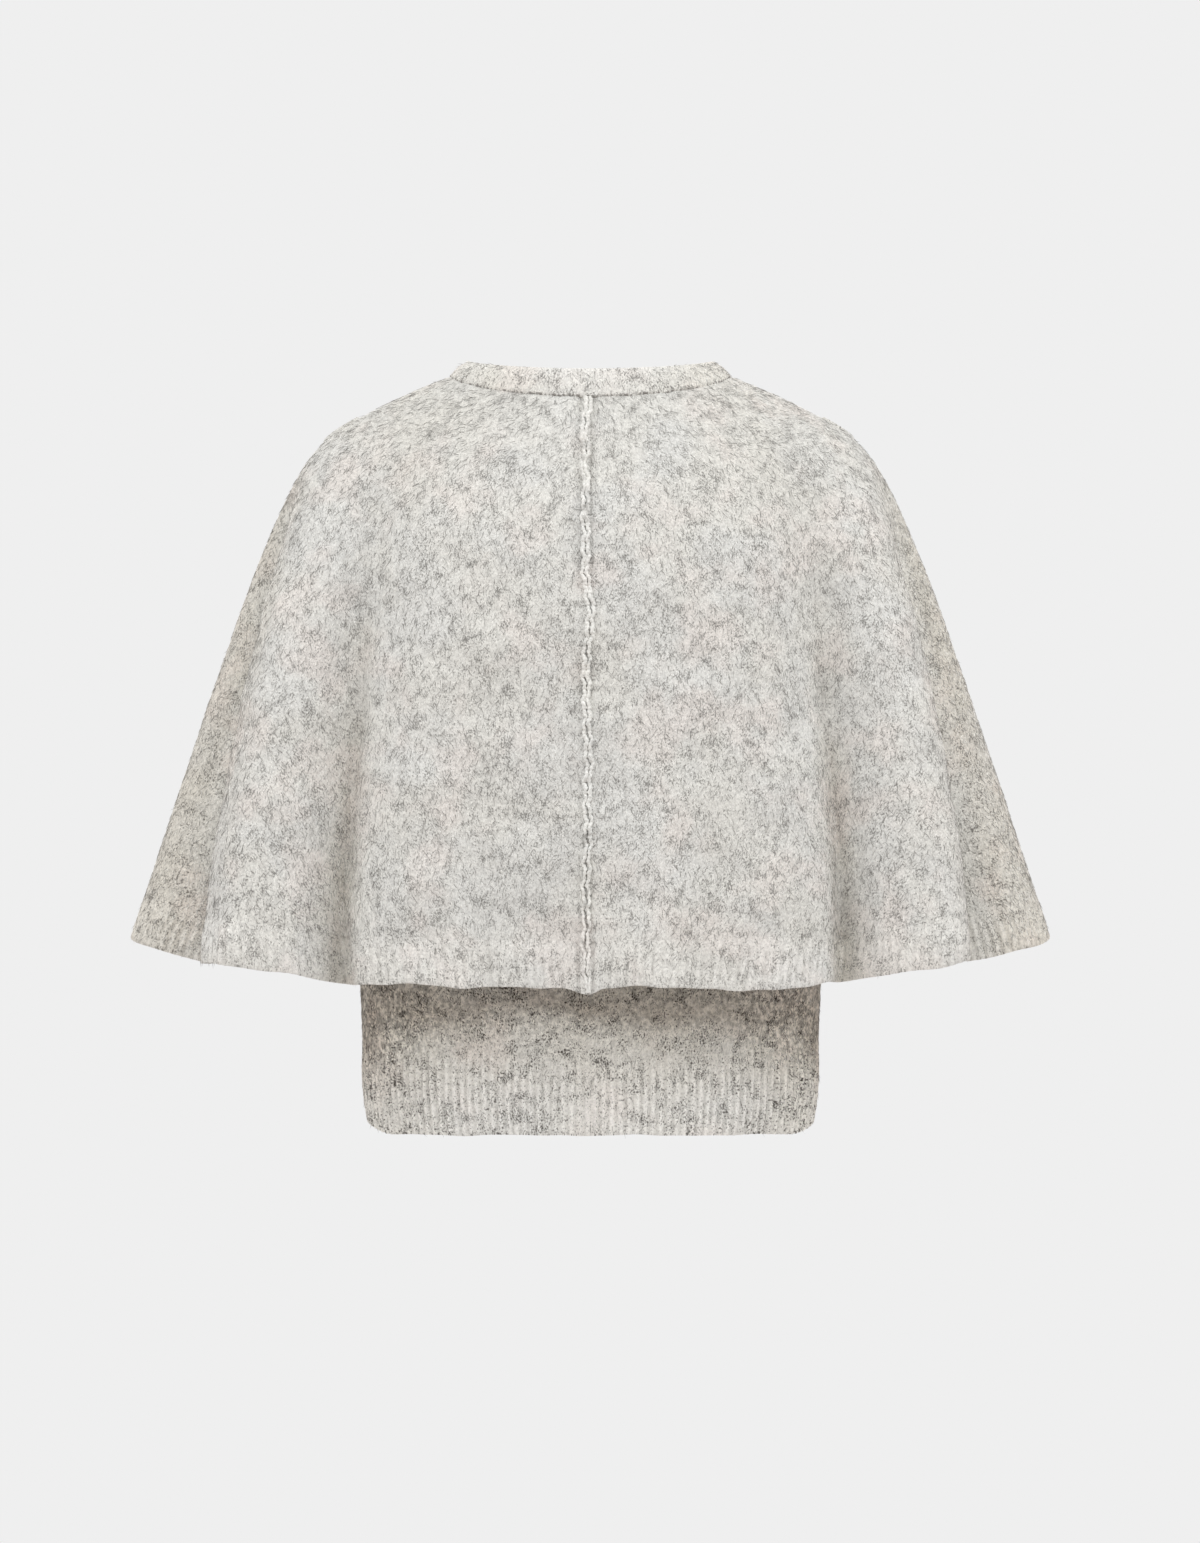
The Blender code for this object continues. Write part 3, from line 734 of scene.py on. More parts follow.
def melange_colour(tree, warmth, flecked, paled, shade_blotched):
    """The melange's colour and the height of its surface. flecked is how dark its flecks
    are, paled how far its ground goes towards the palest fibres, and the blotch setting how much
    its painted shade varies from spot to spot. The flecks also darken in the painted shade."""
    place = add_node(tree, "ShaderNodeTexCoord").outputs["Object"]
    cloth = add_node(tree, "ShaderNodeUVMap", uv_map="cloth")
    show = {}
    for name, spots in MELANGE.items():
        show[name] = add_node(tree, "ShaderNodeTexNoise", {
            "Vector": place, "W": spots.seed, "Scale": scale_for(spots.size_mm),
            "Detail": spots.detail, "Roughness": spots.roughness}, noise_dimensions="4D")
        if (spots.low, spots.high) != (0.0, 1.0):
            show[name] = add_node(tree, "ShaderNodeMapRange", {
                "Value": show[name], "From Min": spots.low, "From Max": spots.high,
                "To Min": spots.least, "To Max": spots.most}, interpolation_type="SMOOTHSTEP")
    gathered = add_node(tree, "ShaderNodeMath", {
        0: show["clouds"], 1: CLOUD_PULL, 2: -CLOUD_PULL / 2}, operation="MULTIPLY_ADD")
    for name, (seed, wide, long, detail, low, high) in HAIRS.items():
        stretched = add_node(tree, "ShaderNodeVectorMath", {
            0: cloth, 1: (scale_for(wide), scale_for(long), 0)}, operation="MULTIPLY")
        show[name] = add_node(tree, "ShaderNodeTexNoise", {
            "Vector": stretched, "W": seed, "Scale": 1.0, "Detail": detail},
            noise_dimensions="4D")
        if name == "fleck":
            show[name] = add_node(tree, "ShaderNodeMath", {0: show[name], 1: gathered})
        show[name] = add_node(tree, "ShaderNodeMapRange", {
            "Value": show[name], "From Min": low, "From Max": high},
            interpolation_type="SMOOTHSTEP")

    # Painted shade: the flecks darken where the cloth is shaded.
    dark = add_node(tree, "ShaderNodeMix", {
        0: warmth, 6: linear(CHARCOAL), 7: linear(SHADED_FLECK)}, data_type="RGBA")
    flecks = add_node(tree, "ShaderNodeMath", {0: show["fleck"], 1: flecked},
                      operation="MULTIPLY")
    fibres = add_node(tree, "ShaderNodeMath", {0: show["fibre"], 1: FIBRE_SHOWS},
                      operation="MULTIPLY")
    colour = linear(GROUND_COOL)
    for share, over in (
            (show["cream"], linear(GROUND_CREAM)), (show["blush"], linear(GROUND_BLUSH)),
            (paled, linear(PALE_FIBRE)), (flecks, dark.outputs[2]),
            (fibres, linear(PALE_FIBRE))):
        colour = add_node(tree, "ShaderNodeMix", {0: share, 6: colour, 7: over},
                          data_type="RGBA").outputs[2]

    # Painted shade, mottled: blotches darken and lighten the colour where it is shaded.
    shade_mottle = add_node(tree, "ShaderNodeMath", {0: warmth, 1: SHADE_MOTTLE_POWER}, operation="POWER")
    shade_mottle = add_node(tree, "ShaderNodeMath", {0: shade_mottle, 1: shade_blotched}, operation="MULTIPLY")
    blotch = add_node(tree, "ShaderNodeMath", {0: 0.5, 1: show["blotch"]},
                      operation="SUBTRACT")
    shade = add_node(tree, "ShaderNodeMath", {0: blotch, 1: shade_mottle, 2: show["mottle"]},
                     operation="MULTIPLY_ADD")
    shaded = add_node(tree, "ShaderNodeVectorMath", {0: colour, "Scale": shade},
                      operation="SCALE")

    height = add_node(tree, "ShaderNodeMath", {0: show["grain"], 1: GRAIN_RISE},
                      operation="MULTIPLY")
    for name, rise in (("fibre", FIBRE_RISE), ("fleck", -FLECK_SINK)):
        height = add_node(tree, "ShaderNodeMath", {0: show[name], 1: rise, 2: height},
                          operation="MULTIPLY_ADD")
    return shaded, height


# %% The brushed knit and the ribbed knit
# Painted shade, and partly the wool's own warmer tone: where the warmth and shade attribute is
# high, the colour is multiplied by this darker, warmer tint. It stands for shade in the folds, at
# the sides and in the cape's shadow on the body, and for a warmer tone on the shoulders, the
# neckband and the front bands.
PAINTED_SHADE_TINT = (0.91, 0.88, 0.83, 1.0)
BUMP_MM, BUMP_STRENGTH = 0.9, 0.6
# The blotch depth says how much the painted shade is mottled.
FLECK_DEPTH, SHADE_BLOTCH_DEPTH = 0.78, 0.25
CREST_AND_GROOVE_SHADE = 0.10  # how much paler a rib's brushed crest is, and how much painted shade darkens its groove


def wool_material(name, sheen, flecked=FLECK_DEPTH, paled=0.0, shade_blotched=SHADE_BLOTCH_DEPTH,
                  rising=False):
    """Melange wool with its bump and sheen. Where the warmth and shade attribute says, it takes a
    darker, warmer tint: partly the wool's warmer tone and partly painted shade. The crest
    attribute, from -1 in a rib's groove to 1 on its crest, paints shade in the grooves and pales
    the crests. A rising rib pales only as it rises out of the plain cloth."""
    material, tree, shader = new_material(name, {
        "Roughness": 0.95, "Specular IOR Level": 0.15, "Sheen Weight": sheen,
        "Sheen Roughness": 0.5})
    warmth, crest, rise = (
        add_node(tree, "ShaderNodeAttribute", attribute_name=label).outputs["Fac"]
        for label in ("warmth", "crest", "rib_share"))
    if rising:
        paled = add_node(tree, "ShaderNodeMath", {0: rise, 1: paled}, operation="MULTIPLY")
    colour, height = melange_colour(tree, warmth, flecked, paled, shade_blotched)
    # Painted shade: the darker, warmer tint goes on where the attribute says.
    warmed_and_shaded = add_node(tree, "ShaderNodeMix", {0: warmth, 6: colour, 7: PAINTED_SHADE_TINT},
                      data_type="RGBA", blend_type="MULTIPLY")
    # Painted shade in each rib's groove, and a paler brushed crest.
    tone = add_node(tree, "ShaderNodeMath", {0: crest, 1: CREST_AND_GROOVE_SHADE, 2: 1.0},
                    operation="MULTIPLY_ADD")
    toned = add_node(tree, "ShaderNodeVectorMath", {0: warmed_and_shaded.outputs[2], "Scale": tone},
                     operation="SCALE")
    bump = add_node(tree, "ShaderNodeBump", {
        "Strength": BUMP_STRENGTH, "Distance": BUMP_MM * MM, "Height": height})
    tree.links.new(toned.outputs[0], shader.inputs["Base Color"])
    tree.links.new(bump.outputs[0], shader.inputs["Normal"])
    return material


brushed_knit = wool_material("brushed_melange_wool_knit", 0.12)
ribbed_knit = wool_material("ribbed_melange_wool_knit", 0.08, paled=0.2)
print("materials", brushed_knit.name, ribbed_knit.name)


# %% [markdown]
# ## The cape
#
# On the real garment the cape is knitted in four panels that hang from the neck seam: two
# behind, joined down the centre back, and two in front that part at the middle. Each ends in
# a rib, which keeps the hem from curling. The panels are plain shells. A rib is the same cloth
# pushed in and out by about a millimetre or less at a nearly steady pitch, so Geometry Nodes
# make it: one tree serves the hems, the neckband and the front bands, with the pitch and the
# height as its inputs.

# %% How each Geometry Nodes tree starts, ends and is run
def new_tree(name, inputs, attributes):
    """A Geometry Nodes tree, all that feeds it, by name, and its end. inputs gives the kind
    of each named input, and attributes the kind of each attribute that it reads."""
    tree = bpy.data.node_groups.new(name, "GeometryNodeTree")
    for label, kind in {"Geometry": "Geometry", **inputs}.items():
        tree.interface.new_socket(label, in_out="INPUT", socket_type="NodeSocket" + kind)
    tree.interface.new_socket("Geometry", in_out="OUTPUT", socket_type="NodeSocketGeometry")
    given = dict(add_node(tree, "NodeGroupInput").outputs.items())
    for label, kind in attributes.items():
        given[label] = add_node(tree, "GeometryNodeInputNamedAttribute", {"Name": label},
                                data_type=kind)
    return tree, given, add_node(tree, "NodeGroupOutput")


def finish_tree(tree, geometry, material, end):
    """Realize what a tree has made, give it its material and send it out."""
    real = add_node(tree, "GeometryNodeRealizeInstances", {0: geometry})
    painted = add_node(tree, "GeometryNodeSetMaterial", {"Geometry": real, "Material": material})
    tree.links.new(painted.outputs[0], end.inputs[0])
    print(tree.name, "has", len(tree.nodes), "nodes")


def as_mesh(piece):
    """A plain mesh of a piece, as its modifiers make it."""
    graph = bpy.context.evaluated_depsgraph_get()
    return bpy.data.meshes.new_from_object(piece.evaluated_get(graph), depsgraph=graph)


def apply_tree(piece, tree, **values):
    """Run a tree on a piece, with its inputs set by their names, and keep a plain mesh."""
    modifier = piece.modifiers.new(tree.name, "NODES")
    modifier.node_group = tree
    for item in tree.interface.items_tree:
        label = item.name.lower()
        if item.in_out == "INPUT" and label in values:
            modifier[item.identifier] = values[label]
    mesh = as_mesh(piece)
    piece.modifiers.remove(modifier)
    mesh.name = piece.name
    old = piece.data
    piece.data = mesh
    bpy.data.meshes.remove(old)
    return piece


# %% A tree that ribs a piece of cloth
rib_tree, given, rib_end = new_tree(
    "knit_rib", {"Pitch": "Float", "Height": "Float", "Material": "Material"},
    {"round_mm": "FLOAT", "rib_share": "FLOAT", "outward": "FLOAT_VECTOR"})
turns = add_node(rib_tree, "ShaderNodeMath", {0: given["round_mm"], 1: given["Pitch"]},
                 operation="DIVIDE")
angle = add_node(rib_tree, "ShaderNodeMath", {0: turns, 1: 2 * math.pi}, operation="MULTIPLY")
wave = add_node(rib_tree, "ShaderNodeMath", {0: angle}, operation="COSINE")
raised = add_node(rib_tree, "ShaderNodeMath", {0: wave, 1: given["rib_share"]},
                  operation="MULTIPLY")
lift = add_node(rib_tree, "ShaderNodeMath", {0: raised, 1: given["Height"]},
                operation="MULTIPLY")
push = add_node(rib_tree, "ShaderNodeVectorMath", {0: given["outward"], "Scale": lift},
                operation="SCALE")
moved = add_node(rib_tree, "GeometryNodeSetPosition", {
    "Geometry": given["Geometry"], "Offset": push})
finish_tree(rib_tree, moved, given["Material"], rib_end)


def raise_ribs(piece, material, pitch, height):
    """Push a piece of cloth into ribs, with their pitch and height in millimetres."""
    return apply_tree(piece, rib_tree, pitch=pitch, height=height * MM, material=material)


# %% Cape panels
CAPE_RIB_TOP = 0.92
CAPE_COLUMNS, CAPE_ROWS = 96, 100
CAPE_FRONT_EDGE_NECK, CAPE_FRONT_EDGE_HEM = 19.0, 38.0
CENTRE_SEAM_GAP = 0.15  # from the centre back line to each panel's edge
CLOSER_BY_SEAM = 0.35  # how much the columns crowd towards the centre back seam
EDGE_ROUND = {BACK: 0.8, FRONT: 1.0}  # of a panel's edge by the centre back, or at the front
QUARTERS = tuple(
    (half, side, f"{half_name}_{side_name}")
    for half, half_name in ((BACK, "back"), (FRONT, "front"))
    for side, side_name in ((LEFT, "left"), (RIGHT, "right")))
WARM_SHOULDER, SIDE_SHADE, FOLD_SHADE = 0.6, 0.9, 0.7  # how much warmer the wool is on the shoulders, and how much painted shade is at the sides and in the folds
SHOULDER_FROM, SHOULDER_DOWN = (60, 90), (0.0, 0.3)  # mm from the middle, share from the top
SIDE_FROM, SIDE_LEAN = (208, 24), 0.225  # mm from the middle, and further out lower down
FOLD_FROM = (18, 32)  # mm of a fold's depth


def cape_front_edge(layer, share):
    """The place of the cape's front edge, which parts a little towards the hem."""
    x = CAPE_FRONT_EDGE_NECK + (CAPE_FRONT_EDGE_HEM - CAPE_FRONT_EDGE_NECK) * share
    return place_of(layer, x, share)


def cape_columns(half, side, count):
    """Columns from the centre back seam, or from the front edge, to the side seam."""
    middle = at_width(CENTRE_SEAM_GAP) if half == BACK else cape_front_edge
    parts = np.linspace(0, 1, count)
    if half == BACK:
        parts = parts + CLOSER_BY_SEAM * parts * (parts - 1) * (1 - parts)
    return [Column(half, side, between(middle, fixed(1.0), part)) for part in parts]


def round_way(grid, row=0.6):
    """How far each column is round the cloth, measured along one row."""
    line = grid.outer[int(row * (len(grid.outer) - 1))]
    return run_along(line[None], 1)[0]


def cape_warmth(grid):
    """The cape's wool is warmer on the shoulders, and painted shade darkens and warms it out at the
    sides and deep in its folds.
    """
    x, z = np.abs(grid.outer[..., 0]), grid.outer[..., 2]
    shoulder = ramp(x, *SHOULDER_FROM) * (1 - ramp(grid.share, *SHOULDER_DOWN))
    side = ramp(x + SIDE_LEAN * z, *SIDE_FROM)
    deep = ramp(-grid.fold, *FOLD_FROM)
    return np.clip(WARM_SHOULDER * shoulder + SIDE_SHADE * side + FOLD_SHADE * deep, 0, 1)


cape_panels = {}
for half, side, name in QUARTERS:
    rows = [(CAPE, np.linspace(0, CAPE_RIB_TOP, CAPE_ROWS))]
    grid = cloth_grid(rows, cape_columns(half, side, CAPE_COLUMNS), CAPE_WALL)
    cape_panels[name] = make_cloth(
        f"cape_{name}_cloth", grid, brushed_knit, (0, 0, EDGE_ROUND[half], 0),
        round_mm=round_way(grid), nap=1.0, warmth=cape_warmth(grid))

# %% Ribs along the cape's hem
CAPE_RIB_PITCH, CAPE_RIB_HEIGHT = 7.1, 0.8
CAPE_RIB_COLUMNS, CAPE_RIB_ROWS = 350, 10
# The cape rib's nap, and how strongly painted shade marks its grooves.
CAPE_RIB_NAP, CAPE_RIB_SHADE = 0.75, 0.5
RIB_FADE = 0.35  # share of the rib's length over which it rises out of the plain cloth
NAP_FREE_EDGE = 0.22  # share of the rib's length, at its lower edge, over which the nap thins
GROOVE_NAP, CREST_NAP = 0.15, 0.75  # nap in the grooves, and half of what the crests add
RIB_WAVES = ((0.55, 23.0, 0.0), (0.4, 7.7, 1.0))  # so that the ribs aren't ruled lines


def rib_looks(grid, pitch, density, clear):
    """What the shader and the nap need to know of a ribbed piece: where its crests are, how
    far they have risen and how strongly painted shade marks their grooves and paleness their
    crests, and its nap. The brush lifts more fibres on the crests, and none at the clean lower
    edge."""
    way = round_way(grid)
    way = way + waves(way, *RIB_WAVES)
    wave = np.cos(2 * math.pi * way / pitch)
    top, foot = grid.share.min(), grid.share.max()
    rise = ramp((grid.share - top) / (foot - top), 0, RIB_FADE)
    brushed = ramp(foot - grid.share, 0, NAP_FREE_EDGE * (foot - top))
    nap = density * brushed * (GROOVE_NAP + CREST_NAP * (1 + wave))
    return {"round_mm": way, "rib_share": rise, "crest": clear * rise * wave, "nap": nap}


cape_ribs = {}
for half, side, name in QUARTERS:
    rows = [(CAPE, np.linspace(CAPE_RIB_TOP, 1, CAPE_RIB_ROWS))]
    grid = cloth_grid(rows, cape_columns(half, side, CAPE_RIB_COLUMNS), CAPE_WALL)
    rib = make_cloth(
        f"cape_rib_{name}_cloth", grid, ribbed_knit, (0, 1, EDGE_ROUND[half], 0),
        warmth=cape_warmth(grid), **rib_looks(grid, CAPE_RIB_PITCH, CAPE_RIB_NAP, CAPE_RIB_SHADE))
    cape_ribs[name] = raise_ribs(rib, ribbed_knit, CAPE_RIB_PITCH, CAPE_RIB_HEIGHT)


# %% [markdown]
# ## The body and its ribs
#
# The body is a plain straight knit: one back panel and two fronts, with open armholes that
# the cape covers. Its hem is a deep rib of finer pitch than the cape's. It is the same wool,
# with a thinner nap, and below the cape, where it shows, its colour carries painted shade: the
# cape's painted shadow and the shade at its sides darken and warm it, darken its flecks and
# blotch it. Its flecks are also darker throughout. So it has materials of its own, made by the
# same function.

# %% Body panels
BODY_RIB_TOP = 0.885
SHOULDER_TIP, UNDERARM = 0.135, 0.44
ARMHOLE_BITE, ARMHOLE_POWER = 0.31, 0.6  # how deep the armhole is cut, and how square
BAND_HALF_WIDTH = 15.0
BODY_ROWS, ARMHOLE_ROWS, BODY_COLUMNS = 84, 40, 40
BODY_NAP, BODY_NAP_FROM = 0.55, (0.76, 0.03)  # nap only from a little above the cape's hem
# A little warmer tone all over, then painted shade at the sides and in the cape's shadow.
BODY_WARM, BODY_SIDE_SHADE, CAPE_SHADOW_SHADE = 0.05, 0.4, 0.8
BODY_SIDE_FROM, SHADE_DOWN = (105, 65), (0.86, 0.1)  # mm from the middle, share down the body


def body_side_edge(layer, share):
    """The place of the body's side edge, cut in for the armhole."""
    down = ramp(share, SHOULDER_TIP, UNDERARM - SHOULDER_TIP)
    return 1.0 - ARMHOLE_BITE * np.sin(math.pi * down) ** ARMHOLE_POWER


def body_columns(name, count):
    """The columns of the back, or of one front, from edge to edge."""
    parts = np.linspace(0, 1, count)
    if name == "back":
        centre = fixed(0.0)
        right = [Column(BACK, RIGHT, between(centre, body_side_edge, part))
                 for part in parts[:0:-1]]
        return right + [Column(BACK, LEFT, between(centre, body_side_edge, part))
                        for part in parts]
    side = LEFT if name == "front_left" else RIGHT
    edge = at_width(BAND_HALF_WIDTH)
    return [Column(FRONT, side, between(edge, body_side_edge, part)) for part in parts]


def body_warmth(grid):
    """Painted shade on the body: its wool is darker and warmer in the cape's shadow, just under the
    cape, and out at its sides, where it turns from the light.
    """
    side = ramp(np.abs(grid.outer[..., 0]), *BODY_SIDE_FROM)
    shade = 1 - ramp(grid.share, *SHADE_DOWN)
    return np.clip(BODY_WARM + BODY_SIDE_SHADE * side + CAPE_SHADOW_SHADE * shade, 0, 1)


body_knit = wool_material(
    "body_melange_wool_knit", 0.1, flecked=1.15, paled=0.15, shade_blotched=0.8)
body_shares = np.unique(np.concatenate([
    np.linspace(0, BODY_RIB_TOP, BODY_ROWS),
    np.linspace(SHOULDER_TIP, UNDERARM, ARMHOLE_ROWS)]))
body_panels = {}
for name in ("back", "front_left", "front_right"):
    grid = cloth_grid([(BODY, body_shares)], body_columns(name, BODY_COLUMNS), BODY_WALL)
    rounded = (0, 0, 1, 1) if name == "back" else (0, 0, 0, 1)
    body_panels[name] = make_cloth(
        f"body_{name}_cloth", grid, body_knit, rounded, round_mm=round_way(grid, 0.9),
        nap=BODY_NAP * ramp(grid.share, *BODY_NAP_FROM), warmth=body_warmth(grid))

# %% Ribs along the body's hem
HEM_RIB_PITCH, HEM_RIB_HEIGHT = 6.5, 1.3
HEM_RIB_COLUMNS, HEM_RIB_ROWS = 230, 14
# The hem rib's nap, and how strongly painted shade marks its grooves.
HEM_RIB_NAP, HEM_RIB_SHADE = 0.55, 1.0

hem_rib_knit = wool_material(
    "hem_melange_wool_rib", 0.1, flecked=1.1, paled=0.4, shade_blotched=0.8, rising=True)
hem_ribs = {}
for name in body_panels:
    rows = [(BODY, np.linspace(BODY_RIB_TOP, 1, HEM_RIB_ROWS))]
    grid = cloth_grid(rows, body_columns(name, HEM_RIB_COLUMNS), BODY_WALL)
    rib = make_cloth(
        f"hem_rib_{name}_cloth", grid, hem_rib_knit, (0, 1, 0, 0),
        warmth=body_warmth(grid), **rib_looks(grid, HEM_RIB_PITCH, HEM_RIB_NAP, HEM_RIB_SHADE))
    hem_ribs[name] = raise_ribs(rib, hem_rib_knit, HEM_RIB_PITCH, HEM_RIB_HEIGHT)


# %% [markdown]
# ## The neckband and the front bands
#
# The neckband is a doubled rib that takes in both layers, so it is thick and stands a little
# proud of the neck seam, which shows as a thin dark line under it. It stops at the front,
# where two more ribbed strips run from the neck to the hem: the buttonhole band, on the right
# front, laps over the button band. They use the same rib tree, with a finer pitch.

# %% Neckband
NECK_RIB_PITCH, NECK_RIB_HEIGHT = 3.3, 0.32
NECKBAND_COLUMNS, NECKBAND_ROWS = 230, 9
NECKBAND_ROUND = (0.7, 0.3, 0, 0)
NECK_SEAM_ROOM = 0.8  # the soft dark line between the neckband and the cape
NECK_ROOM_WAVES = ((0.5, 4.7, 0.0), (0.4, 2.3, 1.0))
NECK_ROOM_SIDE, NECK_ROOM_REACH = 0.7, 75  # the line closes towards the shoulders
NECK_ROOM_SHARES = {"outer": 1.0, "inner": 0.15}  # how much of it each face gives up
NECK_WARMTH, NECK_WARM_FROM = 0.5, (18, 60)

quarter = np.linspace(0, 1, NECKBAND_COLUMNS)
neck_front = [between(at_width(BAND_HALF_WIDTH), fixed(1.0), part) for part in quarter[:-1]]
neck_columns = [Column(FRONT, RIGHT, at) for at in neck_front]
neck_columns += [Column(BACK, RIGHT, fixed(part)) for part in quarter[::-1]]
neck_columns += [Column(BACK, LEFT, fixed(part)) for part in quarter[1:]]
neck_columns += [Column(FRONT, LEFT, at) for at in reversed(neck_front)]
neck_rows = [(NECKBAND, np.linspace(0, 1, NECKBAND_ROWS))]
neck_grid = cloth_grid(neck_rows, neck_columns, NECKBAND_WALL)
neck_way = run_along(neck_grid.outer[-1:], 1)[0]
room = NECK_SEAM_ROOM + waves(neck_way, *NECK_ROOM_WAVES)
room *= 1 - NECK_ROOM_SIDE * ramp(np.abs(neck_grid.outer[-1, :, 0]), 0, NECK_ROOM_REACH) ** 2
for name, part in NECK_ROOM_SHARES.items():
    face = getattr(neck_grid, name)
    face[-1] += part * room[:, None] * unit(face[-2] - face[-1])
neckband_knit = wool_material("neckband_melange_wool_rib", 0.1, paled=0.2)
neckband = make_cloth(
    "neckband_cloth", neck_grid, neckband_knit, NECKBAND_ROUND, round_mm=round_way(neck_grid),
    nap=1.0, rib_share=1.0,
    warmth=NECK_WARMTH * ramp(np.abs(neck_grid.outer[..., 0]), *NECK_WARM_FROM))
raise_ribs(neckband, neckband_knit, NECK_RIB_PITCH, NECK_RIB_HEIGHT)

# %% Front bands
SEAM_GAP = 0.4
BAND_PITCH, BAND_HEIGHT = 3.3, 0.35
BAND_COLUMNS, BAND_ROWS, BAND_TOP_ROWS = 34, 110, 6
BAND_TOP_SHARE = 0.03  # below this the band follows the body, and above it the neckband
BAND_TOP_END = 0.6  # the share of the neckband where it goes over to the body
BAND_WARMTH = 0.2

across = np.linspace(-BAND_HALF_WIDTH, BAND_HALF_WIDTH, BAND_COLUMNS)
band_columns = [Column(FRONT, RIGHT if x < 0 else LEFT, at_width(abs(x))) for x in across]
band_shares = np.unique(np.concatenate([np.linspace(0, 1, BAND_ROWS), [BODY_RIB_TOP]]))
band_rows = [(NECKBAND, np.linspace(0, BAND_TOP_END, BAND_TOP_ROWS)),
             (BODY, band_shares[band_shares > BAND_TOP_SHARE])]
front_bands = {}
for name, depth in (("buttonhole_band", 0.0), ("button_band", BODY_WALL + SEAM_GAP)):
    grid = cloth_grid(band_rows, band_columns, BODY_WALL, depth)
    band = make_cloth(f"{name}_cloth", grid, ribbed_knit, (1, 1, 1, 1), round_mm=across,
                      nap=1.0, warmth=BAND_WARMTH, rib_share=1.0)
    front_bands[name] = raise_ribs(band, ribbed_knit, BAND_PITCH, BAND_HEIGHT)


# %% [markdown]
# ## The raised seam down the centre back
#
# The two back panels are joined with their raw edges turned out, and each edge curls into a
# soft cord. So the seam shows as two pale wavering cords, side by side, with a groove and
# small dark stitches between them. It runs from the neckband to the hem. Each cord is a
# tube along a path on the cloth. The path wanders as the seam does, and the tube's radius
# swells between the stitches that nip it.

# %% A tube along a path
def mesh_from(bm, name):
    """A mesh with a name from a finished bmesh."""
    mesh = bpy.data.meshes.new(name)
    bm.to_mesh(mesh)
    bm.free()
    return mesh


def tube(path, outward, radius, sides):
    """Points and faces of a tube with closed ends. radius is one number for each point and
    side, and outward is the direction that each ring's first point lies in."""
    along = unit(np.gradient(path, axis=0))
    up = unit(outward - (outward * along).sum(-1, keepdims=True) * along)
    right = np.cross(along, up)
    turn = np.linspace(0, 2 * math.pi, sides, endpoint=False)
    radius = np.broadcast_to(radius, (len(path), sides))[..., None]
    ring = up[:, None] * np.cos(turn)[None, :, None] + right[:, None] * np.sin(turn)[None, :, None]
    points = (path[:, None] + ring * radius).reshape(-1, 3)
    points = np.concatenate([points, path[:1], path[-1:]])
    at = np.arange(len(path) * sides).reshape(len(path), sides)
    after = np.roll(at, -1, axis=1)
    faces = np.stack([at[:-1], after[:-1], after[1:], at[1:]], axis=-1).reshape(-1, 4).tolist()
    first, last = len(points) - 2, len(points) - 1
    faces += [[first, after[0, k], at[0, k]] for k in range(sides)]
    faces += [[last, at[-1, k], after[-1, k]] for k in range(sides)]
    return points, faces


def joined_mesh(name, parts):
    """One mesh from several lists of points and faces, with its normals outward."""
    bm = bmesh.new()
    for points, faces in parts:
        verts = [bm.verts.new(point * MM) for point in points]
        for face in faces:
            bm.faces.new([verts[k] for k in face])
    bmesh.ops.recalc_face_normals(bm, faces=bm.faces)
    mesh = mesh_from(bm, name)
    mesh.shade_smooth()
    return mesh


# %% The seam's two cords
CORD_RADIUS = 1.85
CORD_CLOSER = 0.88  # the cords are pressed against each other here and there
CORD_ENDS = (0.002, 0.9995)  # the shares down the cape where a cord starts and ends
CORD_POINTS, CORD_SIDES = 460, 10
CORD_OUT = 1.0  # how far a cord's middle stands off the cloth
CORD_STITCH_MM = 3.4  # from one sewn stitch to the next, each of which nips the cord
CORD_WOBBLES = ((0.75, 3.3, 2), (0.5, 1.45, 5))
CORD_SWELL_LENGTH = 5.3  # over 2 pi, as for waves
CORD_TWIST_MM = 5.2
NIPPED, NIP_SWELL, SLOW_SWELL, TWIST_SWELL = 0.7, 0.38, 0.12, 0.13  # shares of the radius
CORD_RUN, CORD_THICKNESS = (0, 330, 400, 480), (1.0, 1.0, 0.85, 0.8)  # it thins at the hem


def cape_back_point(x, share):
    """A point on the cape's back and the way out of it, near the centre seam."""
    side = np.where(x < 0, -1.0, 1.0)
    half = np.ones_like(x)
    place = place_of(CAPE, np.abs(x), share)
    mirror = np.stack([side, half, half], axis=-1)
    point = cloth_point(CAPE, half, side, place, share)
    normal = ring_normal(CAPE, half, place, share)
    return point * mirror, normal * mirror


def seam_path(lean):
    """The path of one cord of the seam, and the way out along it. lean is -1, 0 or 1."""
    share = np.linspace(*CORD_ENDS, CORD_POINTS)
    z = column_value(CAPE, "back_z", share)
    apart = smooth_between([p.z for p in SEAM_PLACES], [p.apart for p in SEAM_PLACES], z)
    wobble = waves(z, *((height, length, lean * phase) for height, length, phase in CORD_WOBBLES))
    return cape_back_point(seam_x(z) + lean * (CORD_CLOSER * apart / 2 + wobble), share)


